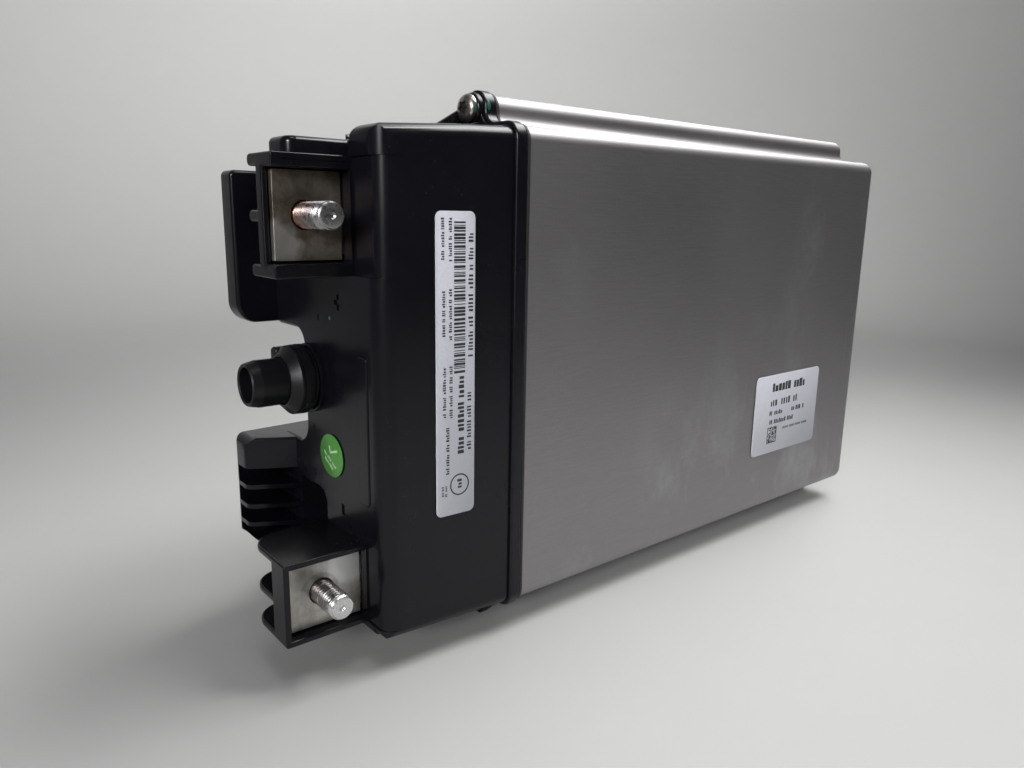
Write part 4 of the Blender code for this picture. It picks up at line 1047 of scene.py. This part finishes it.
def inner_materials():
    """Node-based finishes for the nodes that keep their own shape."""
    finishes = {
        "cell": brushed_metal("cell_foil", (0.48, 0.48, 0.50), (0.66, 0.66, 0.68), (0.22, 0.38),
                              (1, 1, 0.3), 500, None, 0.3),
        "plate": brushed_metal("end_plate", (0.42, 0.42, 0.43), (0.62, 0.62, 0.62), (0.3, 0.45),
                               (0.1, 1, 1)),
        "foam": soft_matter("grey_foam", (0.05, 0.05, 0.055), (0.13, 0.13, 0.14), 0.9, 700, 0.7, 0.3),
        "carrier": plastic("carrier_plastic", (0.56, 0.56, 0.53), (0.66, 0.66, 0.63), (0.4, 0.55), 0.1),
        "board": soft_matter("board_mask", (0.010, 0.085, 0.03), (0.022, 0.15, 0.055), 0.32, 1400,
                             0.1, 0.02),
        "copper": brushed_metal("bare_copper", (0.42, 0.18, 0.10), (0.70, 0.34, 0.20), (0.25, 0.4),
                                (0.2, 1, 1), 900, ((0.30, 0.15, 0.10), 90, 0.52, 0.5)),
        "coil": brushed_metal("coil_wire", (0.28, 0.10, 0.04), (0.50, 0.22, 0.09), (0.3, 0.45),
                              (1, 1, 12), 500, None, 0.6),
        "iron": brushed_metal("yoke_steel", (0.30, 0.30, 0.31), (0.52, 0.51, 0.50), (0.28, 0.42),
                              (1, 1, 0.2)),
        "fuse": soft_matter("fuse_ceramic", (0.66, 0.64, 0.58), (0.76, 0.74, 0.68), 0.4, 700, 0.15, 0.03),
        "fastener": SCREW_STEEL,
        "seal": RUBBER,
        "cover": NOZZLE_PLASTIC,
    }
    for name, node in frame["nodes"].items():
        if node.hide_render:
            continue
        look = finishes[SLOTS[name]]
        if not node.material_slots:
            node.data.materials.append(look)
        for holder in node.material_slots:
            holder.material = look


# --- Stage ---

def stage():
    """A round pale floor that sweeps up into a pale wall on every side, in metres."""
    foot, bend, top = 0.8, 0.5, 2.6
    profile = [(0.001, 0), (0.4, 0), (foot - 0.01, 0)]
    profile += arc((foot, bend), bend, -90, 0, 32) + [(foot + bend, top)]
    bm = bmesh.new()
    bridge(bm, [[bm.verts.new((x, y, height)) for x, y in circle((0, 0), radius, 120)]
                for radius, height in profile])
    studio = mesh_object("studio", bm)
    studio.data.shade_smooth()
    look = Nodes("studio_paint")
    look.shade(look.ramp(look.noise(30, 3),
                         (0.3, (0.4137, 0.4137, 0.408775)), (0.7, (0.42, 0.42, 0.415))), 0.8)
    studio.data.materials.append(look.material)


def lights():
    """Soft lamps: each has its place and what it points at in metres, its size, watts and spread."""
    for name, place, aim, size, power, spread in (
        ("key", (0.5, -0.38, 1.1), (0.0, -0.16, 0), (0.5, 0.5), 1.55, 62),
        ("ridge_light", (0.62, 0.1, 0.95), (-0.03, 0, 0.16), (0.7, 0.7), 1.0, 40),
        ("ceiling", (-0.2, -0.35, 1.2), (-0.17, -0.36, 0), (0.5, 0.4), 0.45, 60),
        ("wall_wash", (-0.3, -0.2, 1.35), (0.5, 1.1, 0.8), (0.5, 0.5), 15, 100),
        ("front_left", (-1.0, -0.55, 0.5), (-0.05, 0, 0.14), (0.5, 0.4), 0.65, 26),
    ):
        data = bpy.data.lights.new(name, "AREA")
        data.spread = math.radians(spread)
        data.shape = "RECTANGLE"
        data.size, data.size_y = size
        data.energy = power
        made = added(name, data)
        made.location = place
        made.rotation_euler = (Vector(aim) - Vector(place)).to_track_quat("-Z", "Y").to_euler()
    world = bpy.data.worlds.new("studio")
    world.use_nodes = True
    inputs = world.node_tree.nodes["Background"].inputs
    inputs["Color"].default_value = (0.9, 0.92, 1.0, 1)
    inputs["Strength"].default_value = 0.2
    bpy.context.scene.world = world
    bpy.context.scene.view_settings.view_transform = "Standard"


def camera():
    """The photograph's view: in front of the cover's near corner, a little above the pack."""
    data = bpy.data.cameras.new("camera")
    data.lens = 27.3
    data.sensor_width = 36
    data.clip_start = 0.001
    made = added("camera", data)
    azimuth, elevation, roll = (math.radians(degrees) for degrees in (50.29, -12.23, 0.94))
    level = math.cos(elevation)
    forward = Vector((level * math.cos(azimuth), level * math.sin(azimuth), math.sin(elevation)))
    turn = forward.to_track_quat("-Z", "Y").to_matrix().to_4x4() @ Matrix.Rotation(roll, 4, "Z")
    place = ORIGIN + Vector((-164.2, -191.1, 131.1)) * MM
    made.matrix_world = Matrix.Translation(place) @ turn
    bpy.context.scene.camera = made


camera()
stage()
lights()
can()
gasket()
cover()
screws()
terminals()
vent()
cover_label()
can_label()
sticker()
springs()
inner_materials()
